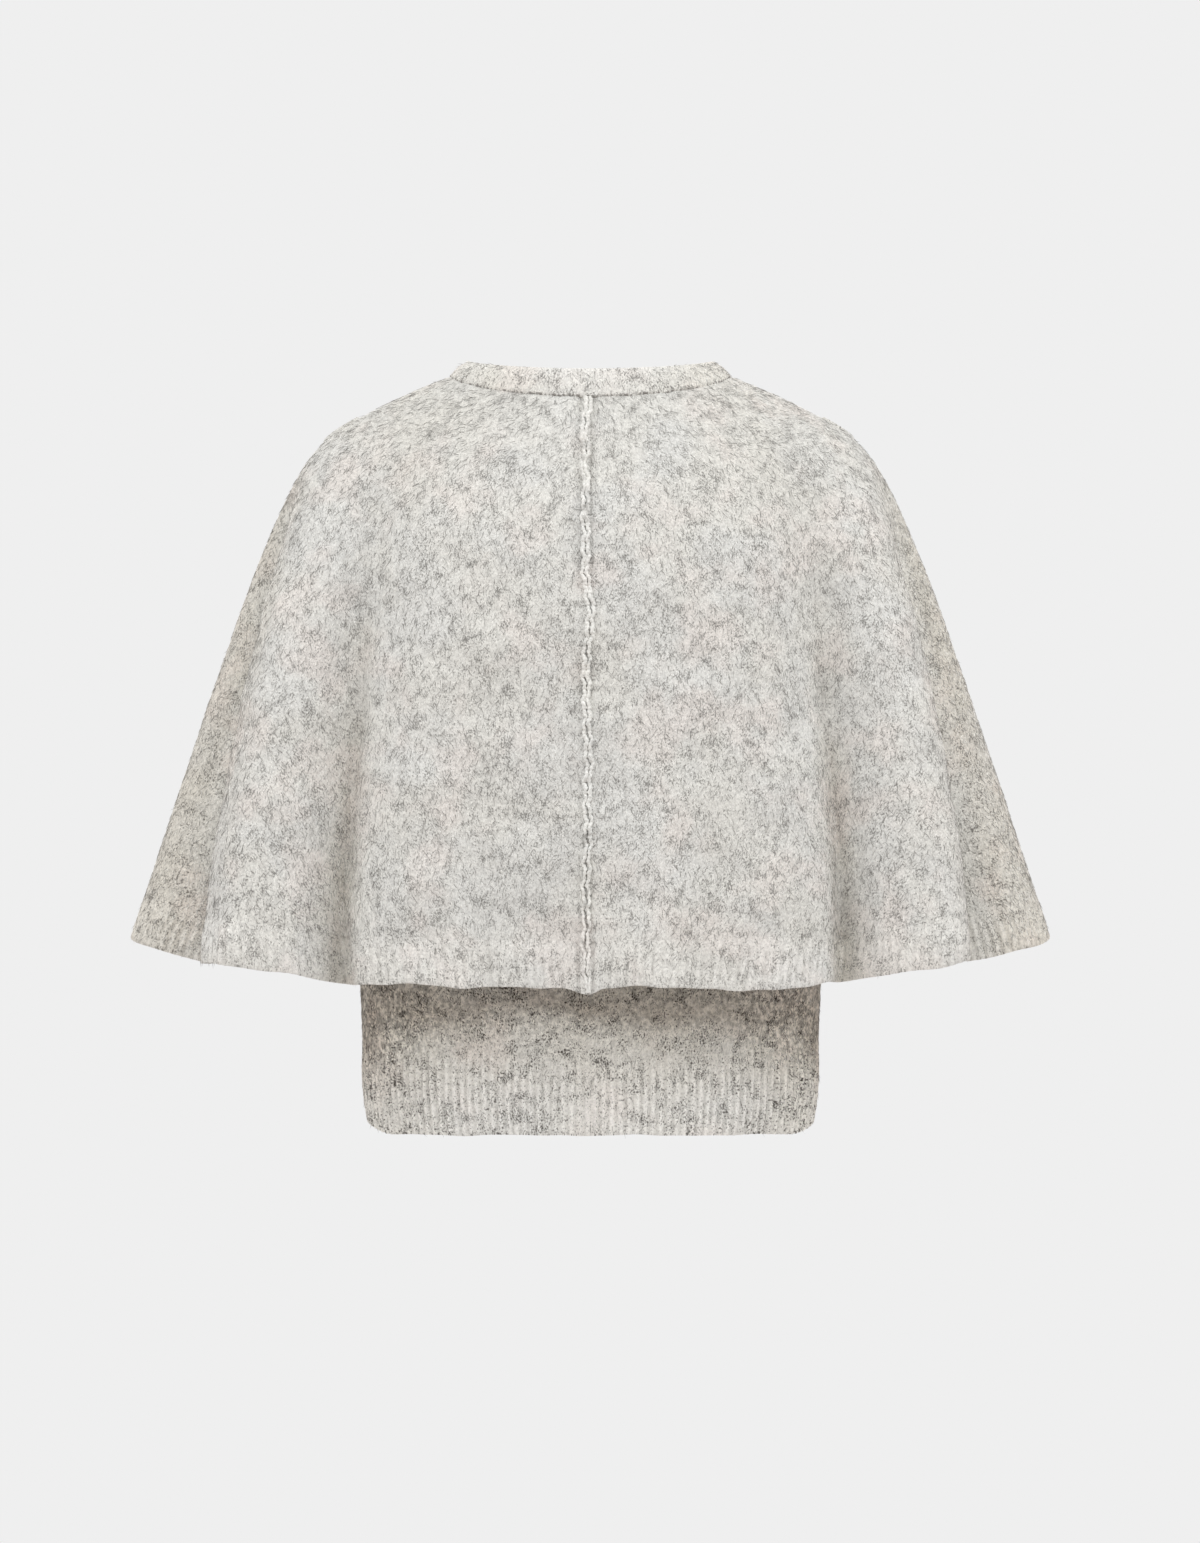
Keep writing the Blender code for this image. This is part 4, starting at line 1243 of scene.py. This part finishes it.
def seam_cord(lean):
    """One cord's points and faces."""
    path, outward = seam_path(lean)
    run = run_along(path[None], 1)[0]
    nip = 0.5 - 0.5 * np.cos(2 * math.pi * run / CORD_STITCH_MM + lean)
    thick = NIPPED + NIP_SWELL * nip + waves(run, (SLOW_SWELL, CORD_SWELL_LENGTH, lean))
    thick = CORD_RADIUS * thick * np.interp(run, CORD_RUN, CORD_THICKNESS)
    turn = np.linspace(0, 2 * math.pi, CORD_SIDES, endpoint=False)
    twisted = 2 * turn[None] + lean * 2 * math.pi * run[:, None] / CORD_TWIST_MM
    round_cord = 1 + TWIST_SWELL * np.cos(twisted)
    return tube(path + CORD_OUT * outward, outward, thick[:, None] * round_cord, CORD_SIDES)


seam_wool = wool_material("rolled_wool_edge", 0.1, flecked=0.8, paled=0.3)
seam_cords = link_object(
    "centre_back_seam_cords", joined_mesh("centre_back_seam_cords", [seam_cord(-1), seam_cord(1)]),
    seam_wool)
print("seam length in mm", round(float(run_along(seam_path(0)[0][None], 1)[0, -1])))

# %% A tree that sews stitches along a path
Stitch = namedtuple(  # in mm, but the unevenness is a share of the stitch's size
    "Stitch", "spacing length width height unevenness seed")
BEAD_FACES = 20  # one stitch is an icosphere that isn't subdivided

stitch_tree, given, stitch_end = new_tree(
    "sewn_stitches", {"Spacing": "Float", "Size": "Vector", "Unevenness": "Float",
                      "Seed": "Int", "Material": "Material"}, {"outward": "FLOAT_VECTOR"})
line = add_node(stitch_tree, "GeometryNodeMeshToCurve", {0: given["Geometry"]})
spots = add_node(stitch_tree, "GeometryNodeCurveToPoints", {
    "Curve": line, "Length": given["Spacing"]}, mode="LENGTH")
facing = add_node(stitch_tree, "FunctionNodeAlignRotationToVector", {
    "Vector": given["outward"]}, axis="Z")
facing = add_node(stitch_tree, "FunctionNodeAlignRotationToVector", {
    "Rotation": facing, "Vector": spots.outputs["Tangent"]}, axis="X", pivot_axis="Z")
least = add_node(stitch_tree, "ShaderNodeMath", {0: 1.0, 1: given["Unevenness"]},
                 operation="SUBTRACT")
most = add_node(stitch_tree, "ShaderNodeMath", {0: 1.0, 1: given["Unevenness"]})
jitter = add_node(stitch_tree, "FunctionNodeRandomValue", {
    2: least, 3: most, "Seed": given["Seed"]}, data_type="FLOAT")
size = add_node(stitch_tree, "ShaderNodeVectorMath", {
    0: given["Size"], "Scale": jitter.outputs[1]}, operation="SCALE")
bead = add_node(stitch_tree, "GeometryNodeMeshIcoSphere", {"Radius": 0.5, "Subdivisions": 1})
sewn = add_node(stitch_tree, "GeometryNodeInstanceOnPoints", {
    "Points": spots.outputs["Points"], "Instance": bead.outputs["Mesh"],
    "Rotation": facing, "Scale": size})
finish_tree(stitch_tree, sewn, given["Material"], stitch_end)


def stitch_line(name, paths, material, stitch):
    """Sew stitches along paths, which are lists of points with the way out at each."""
    mesh = bpy.data.meshes.new(name)
    points = np.concatenate([path for path, _ in paths])
    starts = np.cumsum([0] + [len(path) for path, _ in paths])
    edges = [(k, k + 1) for a, b in zip(starts, starts[1:]) for k in range(a, b - 1)]
    mesh.from_pydata((points * MM).tolist(), edges, [])
    write_attribute(mesh, "outward", np.concatenate([outward for _, outward in paths]))
    piece = link_object(name, mesh, material)
    apply_tree(piece, stitch_tree, material=material, spacing=stitch.spacing * MM,
               size=(stitch.length * MM, stitch.width * MM, stitch.height * MM),
               unevenness=stitch.unevenness, seed=stitch.seed)
    print(name, len(piece.data.polygons) // BEAD_FACES, "stitches")
    return piece


# %% Dark stitches in the groove between the cords and along the neck seam
PLAIN_MOTTLE_MM = 1.6
PLAIN_DARK, PLAIN_PALE = 0.8, 1.12  # how far the mottle takes a plain colour down and up
GROOVE_STITCH = Stitch(6.1, 1.9, 0.9, 0.8, 0.8, seed=11)
GROOVE_STITCH_OUT = 0.9  # how far the groove's stitches stand off the cloth
NECK_STITCH = Stitch(3.9, 2.2, 1.3, 1.0, 0.9, seed=7)
NECK_STITCH_IN = 0.3  # and how far the neck's stitches lie in it


def plain_material(name, colour, roughness, sheen=0.0):
    """A material of one colour, with a fine mottle so that it isn't flat."""
    material, tree, shader = new_material(name, {"Roughness": roughness, "Sheen Weight": sheen})
    place = add_node(tree, "ShaderNodeTexCoord").outputs["Object"]
    mottle = add_node(tree, "ShaderNodeTexNoise", {
        "Vector": place, "Scale": scale_for(PLAIN_MOTTLE_MM), "Detail": 3.0})
    shade = add_node(tree, "ShaderNodeMapRange", {
        "Value": mottle, "From Min": 0.3, "From Max": 0.7, "To Min": PLAIN_DARK,
        "To Max": PLAIN_PALE})
    tinted = add_node(tree, "ShaderNodeVectorMath", {0: linear(colour)[:3], "Scale": shade},
                      operation="SCALE")
    tree.links.new(tinted.outputs[0], shader.inputs["Base Color"])
    return material


charcoal_thread = plain_material("spun_wool_thread", "#8A8682", 0.9, 0.1)
groove, way_out = seam_path(0)
seam_stitches = stitch_line(
    "centre_back_seam_stitches", [(groove + GROOVE_STITCH_OUT * way_out, way_out)],
    charcoal_thread, GROOVE_STITCH)
neck_out = neck_grid.outward[-1][2:-2]
neck_line = neck_grid.outer[-1][2:-2] - NECK_STITCH_IN * neck_out
neck_stitches = stitch_line(
    "neck_seam_stitches", [(neck_line, neck_out)], charcoal_thread, NECK_STITCH)


# %% [markdown]
# ## Buttons and buttonholes
#
# The front fastens with seven small four-hole buttons, turned from horn or shell: a dished
# face inside a rounded rim. The profile is spun round an axis, the holes are cut with a
# Boolean, and a cross of thread holds each one. Round each buttonhole the band is oversewn
# with close stitches, which show just past the button's edge.

# %% One button
BUTTON_PROFILE = (  # radius and height in mm, from the dish's middle round to the back
    (0.0, 2.0), (2.2, 1.98), (4.3, 2.05), (5.0, 2.4), (5.7, 2.85), (6.4, 3.0), (7.0, 2.85),
    (7.4, 2.3), (7.5, 1.6), (7.3, 0.8), (6.7, 0.3), (5.5, 0.05), (0.0, 0.0),
)
BUTTON_TURNS = 40
HOLE_RADIUS, HOLE_PLACE, HOLE_SIDES = 0.85, 1.55, 12
HOLE_DEPTH = 10.0  # more than the button's thickness
BUTTON_ANGLE = math.radians(40)  # as EDGE_ANGLE, for a turned edge


def turned_button():
    """A button's mesh, with no holes yet."""
    bm = bmesh.new()
    verts = [bm.verts.new((r * MM, 0, z * MM)) for r, z in BUTTON_PROFILE]
    edges = [bm.edges.new(pair) for pair in zip(verts, verts[1:])]
    bmesh.ops.spin(bm, geom=verts + edges, axis=(0, 0, 1), cent=(0, 0, 0), steps=BUTTON_TURNS,
                   angle=2 * math.pi, use_merge=True)
    bmesh.ops.remove_doubles(bm, verts=bm.verts, dist=1e-6)
    bmesh.ops.recalc_face_normals(bm, faces=bm.faces)
    return mesh_from(bm, "turned_button")


def hole_cutter():
    """Four short rods where a button's holes go."""
    bm = bmesh.new()
    for corner in range(4):
        angle = math.radians(45 + 90 * corner)
        place = Vector((math.cos(angle), math.sin(angle), 0)) * HOLE_PLACE * MM
        bmesh.ops.create_cone(
            bm, cap_ends=True, segments=HOLE_SIDES, radius1=HOLE_RADIUS * MM,
            radius2=HOLE_RADIUS * MM, depth=HOLE_DEPTH * MM, matrix=Matrix.Translation(place))
    return mesh_from(bm, "hole_cutter")


horn = plain_material("turned_horn", "#D8D2C6", 0.32)
button_blank = link_object("button_blank", turned_button(), horn)
cutter = link_object("hole_cutter", hole_cutter(), horn)
button_blank.modifiers.new("holes", "BOOLEAN").object = cutter
button_mesh = as_mesh(button_blank)
for spare in (button_blank, cutter):
    bpy.data.objects.remove(spare)
print("a button has", len(button_mesh.polygons), "faces")

# %% Seven buttons with their thread
BUTTON_SHARES = np.linspace(0.06, 0.955, 7)  # down the body's front
BUTTON_CLEARANCE = 0.6  # from the cloth to a button's back
THREAD_RADIUS, THREAD_POINTS, THREAD_SIDES = 0.38, 9, 8
THREAD_END = 0.71 * HOLE_PLACE  # about how far across and up each hole lies
THREAD_FOOT, THREAD_RISE, THREAD_OVER = 1.2, 1.35, 0.25  # one arch goes over the other


def button_frame(share):
    """The place and turn of the button at a share of the body's front."""
    half, side, place = np.array(-1.0), np.array(1.0), np.array(0.0)
    point = cloth_point(BODY, half, side, place, np.array(share))
    normal = cloth_normal(BODY, half, side, place, np.array(share))
    turn = Matrix.Rotation(math.atan2(-normal[1], normal[2]), 4, "X")
    return Matrix.Translation(Vector((point + normal * BUTTON_CLEARANCE) * MM)) @ turn


def thread_cross():
    """Two arches of thread over a button, from hole to hole."""
    parts = []
    turn = np.linspace(-1, 1, THREAD_POINTS)
    up = np.tile([0.0, 0.0, 1.0], (THREAD_POINTS, 1)) + 0.01  # so that it is never along the thread
    for lean in (1, -1):
        rise = THREAD_RISE + THREAD_OVER * (lean > 0)
        z = THREAD_FOOT + rise * np.sqrt(np.maximum(1 - turn ** 4, 0))
        path = np.stack([turn * THREAD_END, lean * turn * THREAD_END, z], axis=-1)
        parts.append(tube(path, up, THREAD_RADIUS, THREAD_SIDES))
    return joined_mesh("thread_cross", parts)


cross_mesh = thread_cross()
cream_thread = plain_material("spun_cream_thread", "#E6E1D6", 0.85, 0.1)
buttons, button_threads = [], []
for i, share in enumerate(BUTTON_SHARES, 1):
    for name, source, material, found in (
            (f"button_{i}_turned", button_mesh, horn, buttons),
            (f"button_thread_{i}", cross_mesh, cream_thread, button_threads)):
        mesh = source.copy()
        mesh.transform(button_frame(float(share)))
        mesh.shade_smooth()
        mesh.set_sharp_from_angle(angle=BUTTON_ANGLE)
        mesh.materials.clear()
        found.append(link_object(name, mesh, material))
print("buttons", len(buttons))

# %% Oversewn buttonholes
HOLE_LENGTH, HOLE_WIDTH = 17.5, 3.6
HOLE_SQUARE = 0.6  # how square the loop's ends are
HOLE_POINTS = 64
HOLE_SINK = 0.35  # how far the stitches lie below a button's back
HOLE_STITCH = Stitch(0.95, 0.8, 2.4, 0.9, 0.15, seed=5)


def buttonhole_path(share):
    """A narrow loop on the band round a buttonhole that runs up and down the band."""
    frame_here = button_frame(share)
    turn = np.linspace(0, 2 * math.pi, HOLE_POINTS)
    x = HOLE_WIDTH / 2 * np.sign(np.cos(turn)) * np.abs(np.cos(turn)) ** HOLE_SQUARE
    y = HOLE_LENGTH / 2 * np.sin(turn)
    loop = [frame_here @ Vector((a * MM, b * MM, -HOLE_SINK * MM)) for a, b in zip(x, y)]
    outward = np.array(frame_here.to_3x3() @ Vector((0, 0, 1)))
    return np.array(loop) / MM, np.tile(outward, (HOLE_POINTS, 1))


buttonholes = stitch_line(
    "buttonhole_stitches", [buttonhole_path(float(share)) for share in BUTTON_SHARES],
    cream_thread, HOLE_STITCH)


# %% [markdown]
# ## The brushed nap
#
# Brushing pulls the ends of fibres out of the knit, and they lie over the cloth in short
# locks, roughly down the garment but never quite in line. Against the light edge of the
# hem or the shoulder they make the outline soft. A hair system could grow them, but it
# doesn't become a mesh in the finished part, so Geometry Nodes scatter short tapered spikes
# over each shell: thousands of them, each with only four faces. A real fibre is 0.02 mm
# wide, so each spike stands for a lock of fibres.

# %% A tree that grows the nap
LEAST_LIFT = 0.02  # radians, so that no lock lies flat in the cloth
LEAST_SIZE, MOST_SIZE = 0.55, 1.35  # of a lock, beside NAP_LENGTH and NAP_WIDTH

nap_tree, given, nap_end = new_tree(
    "brushed_nap", {"Density": "Float", "Length": "Float", "Width": "Float", "Lift": "Float",
                    "Swing": "Float", "Seed": "Int", "Material": "Material"},
    {"nap": "FLOAT", "down": "FLOAT_VECTOR"})
thick = add_node(nap_tree, "ShaderNodeMath", {0: given["Density"], 1: given["nap"]},
                 operation="MULTIPLY")
roots = add_node(nap_tree, "GeometryNodeDistributePointsOnFaces", {
    "Mesh": given["Geometry"], "Density": thick, "Seed": given["Seed"]})
upright = add_node(nap_tree, "FunctionNodeAlignRotationToVector", {
    "Vector": roots.outputs["Normal"]}, axis="Z")
combed = add_node(nap_tree, "FunctionNodeAlignRotationToVector", {
    "Rotation": upright, "Vector": given["down"]}, axis="Y", pivot_axis="Z")
left_swing = add_node(nap_tree, "ShaderNodeMath", {0: given["Swing"], 1: -1.0},
                      operation="MULTIPLY")
low = add_node(nap_tree, "ShaderNodeCombineXYZ", {"X": LEAST_LIFT, "Z": left_swing})
high = add_node(nap_tree, "ShaderNodeCombineXYZ", {"X": given["Lift"], "Z": given["Swing"]})
stray = add_node(nap_tree, "FunctionNodeRandomValue", {
    0: low, 1: high, "Seed": given["Seed"]}, data_type="FLOAT_VECTOR")
turn = add_node(nap_tree, "FunctionNodeEulerToRotation", {0: stray})
lying = add_node(nap_tree, "FunctionNodeRotateRotation", {0: combed, 1: turn},
                 rotation_space="LOCAL")
half_width = add_node(nap_tree, "ShaderNodeMath", {0: given["Width"], 1: 0.5},
                      operation="MULTIPLY")
spike = add_node(nap_tree, "GeometryNodeMeshCone", {
    "Vertices": 3, "Side Segments": 1, "Fill Segments": 1, "Radius Top": 0.0,
    "Radius Bottom": half_width, "Depth": given["Length"]}, fill_type="NGON")
laid = add_node(nap_tree, "GeometryNodeTransform", {
    "Geometry": spike, "Rotation": (math.radians(-90), 0, 0)})
size = add_node(nap_tree, "FunctionNodeRandomValue", {
    2: LEAST_SIZE, 3: MOST_SIZE, "Seed": given["Seed"]}, data_type="FLOAT")
grown = add_node(nap_tree, "GeometryNodeInstanceOnPoints", {
    "Points": roots, "Instance": laid, "Rotation": lying, "Scale": size.outputs[1]})
shade = add_node(nap_tree, "FunctionNodeRandomValue", {"Seed": given["Seed"]},
                 data_type="FLOAT")
toned = add_node(nap_tree, "GeometryNodeStoreNamedAttribute", {
    "Geometry": grown, "Name": "fibre_shade", "Value": shade.outputs[1]},
    data_type="FLOAT", domain="INSTANCE")
finish_tree(nap_tree, toned, given["Material"], nap_end)

# %% Wool fibres and the nap on every shell
NAP_DENSITY = 136000.0  # locks on each square metre
NAP_LENGTH, NAP_WIDTH = 4.6, 0.48
NAP_LIFT, NAP_SWING = math.radians(8), math.radians(48)
FIBRE_GREY = "#8F8D8A"
GREY_LOW, GREY_HIGH = 0.9, 1.35  # a lock's own shade and its cloud's, added together


def fibre_material():
    """The nap's fibres: the melange's own colour, some locks paler and some darker."""
    material, tree, shader = new_material("brushed_wool_fibre", {
        "Roughness": 0.85, "Specular IOR Level": 0.2, "Sheen Weight": 0.1})
    place = add_node(tree, "ShaderNodeTexCoord").outputs["Object"]
    clouds = add_node(tree, "ShaderNodeTexNoise", {
        "Vector": place, "W": CLOUDS.seed, "Scale": scale_for(CLOUDS.size_mm),
        "Detail": CLOUDS.detail, "Roughness": CLOUDS.roughness}, noise_dimensions="4D")
    own = add_node(tree, "ShaderNodeAttribute", attribute_name="fibre_shade").outputs["Fac"]
    dark = add_node(tree, "ShaderNodeMath", {0: own, 1: clouds})
    tone = add_node(tree, "ShaderNodeMapRange", {
        "Value": dark, "From Min": GREY_LOW, "From Max": GREY_HIGH},
        interpolation_type="SMOOTHSTEP")
    colour = add_node(tree, "ShaderNodeMix", {
        0: tone, 6: linear(PALE_FIBRE), 7: linear(FIBRE_GREY)}, data_type="RGBA")
    tree.links.new(colour.outputs[2], shader.inputs["Base Color"])
    return material


def grow_nap(cloth, seed):
    """The nap of one piece of cloth, as a piece of its own."""
    nap = bpy.data.objects.new(cloth.name.replace("_cloth", "_nap"), cloth.data.copy())
    bpy.context.scene.collection.objects.link(nap)
    apply_tree(nap, nap_tree, density=NAP_DENSITY, length=NAP_LENGTH * MM,
               width=NAP_WIDTH * MM, lift=NAP_LIFT, swing=NAP_SWING, seed=seed,
               material=wool_fibre)
    print(nap.name, len(nap.data.polygons), "faces")
    return nap


wool_fibre = fibre_material()
napped = [*cape_panels.values(), *cape_ribs.values(), *body_panels.values(),
          *hem_ribs.values(), neckband, front_bands["buttonhole_band"]]
naps = {cloth.name: grow_nap(cloth, seed) for seed, cloth in enumerate(napped)}


# %% [markdown]
# ## Each piece's place in the frame
#
# A piece of cloth rides on the garment's one body and stands for the plain wall that it
# replaces, which is hidden.

# %% Ride and replace
def settle(piece, slot, *nodes):
    """Fix a piece to the garment and say which plain nodes it stands for."""
    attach(piece, ROOT)
    if nodes:
        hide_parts(*nodes)


for prefix, slot, pieces in (
        ("cape_", "brushed_knit", cape_panels), ("cape_rib_", "rib_knit", cape_ribs),
        ("body_", "brushed_knit", body_panels), ("hem_rib_", "rib_knit", hem_ribs),
        ("", "rib_knit", {"neckband": neckband}), ("", "rib_knit", front_bands)):
    for name, piece in pieces.items():
        settle(piece, slot, prefix + name)
for i, piece in enumerate(buttons, 1):
    settle(piece, "button", f"button_{i}")
for piece in (*button_threads, buttonholes, seam_cords, seam_stitches, neck_stitches):
    settle(piece, "rib_knit")
for piece in naps.values():
    settle(piece, "brushed_knit")
print("settled", len(cape_panels) + len(cape_ribs) + len(body_panels) + len(hem_ribs),
      "panels and ribs, with", len(naps), "naps")


# %% [markdown]
# ## The cut of each piece of cloth
#
# A knitted panel is shaped on the machine, so its flat size is the size to which it is
# knitted. The cape's panels are wedges that widen from the neck to the hem, so they flare
# when they hang, and the body's panels are nearly rectangles with the armholes cut in.

# %% A flat cut: its width and length in metres, its area in square metres, and how it is held
Cut = namedtuple("Cut", "width length area held", defaults=("hung",))


print("sheets", 2 * (len(cape_panels) + len(body_panels)) + 1 + len(front_bands))


# %% [markdown]
# ## The room, the light and the camera
#
# The garment hangs in a plain pale studio. A soft lamp above and behind the viewer throws the
# cape's shadow on the body. Two more on each side rake across the folds so that they show, a
# faint one hangs overhead, one lights the front, and the room itself fills the shadows. The
# camera looks straight at the back through a long lens, level with the middle of the garment.

# %% Camera
CAMERA_DISTANCE = 3.2
CAMERA_X, CAMERA_Z = -0.0078, -0.325
VIEW_HEIGHT = 1.2653
SENSOR_MM = 36.0

camera_data = bpy.data.cameras.new("camera")
camera_data.sensor_fit = "VERTICAL"
camera_data.sensor_height = SENSOR_MM
camera_data.lens = SENSOR_MM * CAMERA_DISTANCE / VIEW_HEIGHT
camera = bpy.data.objects.new("camera", camera_data)
camera.location = (CAMERA_X, CAMERA_DISTANCE, CAMERA_Z)
camera.rotation_euler = (math.radians(90), 0, math.radians(180))
bpy.context.scene.collection.objects.link(camera)
bpy.context.scene.camera = camera
print("lens", round(camera_data.lens, 1), "mm")

# %% Floor
STUDIO_GREY = "#EFEFEF"
FLOOR_Z = -1.30
FLOOR_RADIUS, FLOOR_FADE = 1.45, 0.75  # it fades into the backdrop between the two
FLOOR_SIDES = 96

bm = bmesh.new()
bmesh.ops.create_circle(bm, cap_ends=True, segments=FLOOR_SIDES, radius=FLOOR_RADIUS)
bmesh.ops.translate(bm, verts=bm.verts, vec=(0, 0, FLOOR_Z))
floor_mesh = mesh_from(bm, "studio_floor")
floor_paint, tree, shader = new_material("studio_floor_paint", {
    "Base Color": linear(STUDIO_GREY), "Roughness": 0.9, "Specular IOR Level": 0.0})
place = add_node(tree, "ShaderNodeTexCoord").outputs["Object"]
flat = add_node(tree, "ShaderNodeVectorMath", {0: place, 1: (1, 1, 0)}, operation="MULTIPLY")
away = add_node(tree, "ShaderNodeVectorMath", {0: flat}, operation="LENGTH")
fade = add_node(tree, "ShaderNodeMapRange", {
    "Value": away.outputs["Value"], "From Min": FLOOR_FADE, "From Max": FLOOR_RADIUS},
    interpolation_type="SMOOTHSTEP")
clear = add_node(tree, "ShaderNodeBsdfTransparent")
both = add_node(tree, "ShaderNodeMixShader", {0: fade, 1: shader, 2: clear})
tree.links.new(both.outputs[0], tree.nodes["Material Output"].inputs["Surface"])
floor = link_object("studio_floor", floor_mesh, floor_paint)
floor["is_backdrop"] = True
print("floor at", FLOOR_Z, "m")

# %% Room light
ROOM_FILL, ROOM_STRENGTH = (1.0, 0.875, 0.79, 1.0), 0.455

world = bpy.data.worlds.new("studio")
bpy.context.scene.world = world
world.use_nodes = True
tree = world.node_tree
path = add_node(tree, "ShaderNodeLightPath").outputs
seen = path["Is Camera Ray"]
for ray in ("Is Glossy Ray", "Is Transmission Ray"):
    seen = add_node(tree, "ShaderNodeMath", {0: seen, 1: path[ray]}, operation="MAXIMUM")
fill = tree.nodes["Background"]
fill.inputs["Color"].default_value = ROOM_FILL
fill.inputs["Strength"].default_value = ROOM_STRENGTH
backdrop = add_node(tree, "ShaderNodeBackground", {"Color": linear(STUDIO_GREY), "Strength": 1.0})
shown = add_node(tree, "ShaderNodeMixShader", {0: seen, 1: fill, 2: backdrop})
tree.links.new(shown.outputs[0], tree.nodes["World Output"].inputs["Surface"])
print("room light", ROOM_STRENGTH)

# %% Lamps
Lamp = namedtuple("Lamp", "name azimuth rise size power")  # degrees, metres, watts
LAMPS = table(
    Lamp,
    ("key_lamp", 0, 26, 0.9, 21.2),
    ("left_inner_lamp", 45, 30, 1.0, 16.5), ("right_inner_lamp", -45, 30, 1.0, 16.5),
    ("left_outer_lamp", 75, 34, 1.0, 19.0), ("right_outer_lamp", -75, 34, 1.0, 19.0),
    ("top_lamp", 0, 80, 1.3, 7.5), ("front_lamp", 160, 30, 1.6, 38),
)
LAMP_COLOUR = (0.925, 0.98, 1.0)
LAMP_DISTANCE = 2.9
LAMP_AIM = Vector((0, 0, -0.3))  # the garment's middle, and azimuth 0 is behind it


def hang_lamp(lamp):
    """Hang a round soft lamp that points at the garment's middle."""
    data = bpy.data.lights.new(lamp.name, "AREA")
    data.shape = "DISK"
    data.size = lamp.size
    data.energy = lamp.power
    data.color = LAMP_COLOUR
    turn, rise = math.radians(lamp.azimuth), math.radians(lamp.rise)
    away = Vector((math.sin(turn) * math.cos(rise), math.cos(turn) * math.cos(rise),
                   math.sin(rise)))
    piece = bpy.data.objects.new(lamp.name, data)
    piece.location = LAMP_AIM + LAMP_DISTANCE * away
    piece.rotation_euler = (-away).to_track_quat("-Z", "Y").to_euler()
    bpy.context.scene.collection.objects.link(piece)


for lamp in LAMPS:
    hang_lamp(lamp)
bpy.context.scene.view_settings.view_transform = "Standard"
print("lamps", [lamp.name for lamp in LAMPS])

# %% Measure the visual box and finish
low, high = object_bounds()
print("visual box in mm", [round((b - a) / MM, 1) for a, b in zip(low, high)])
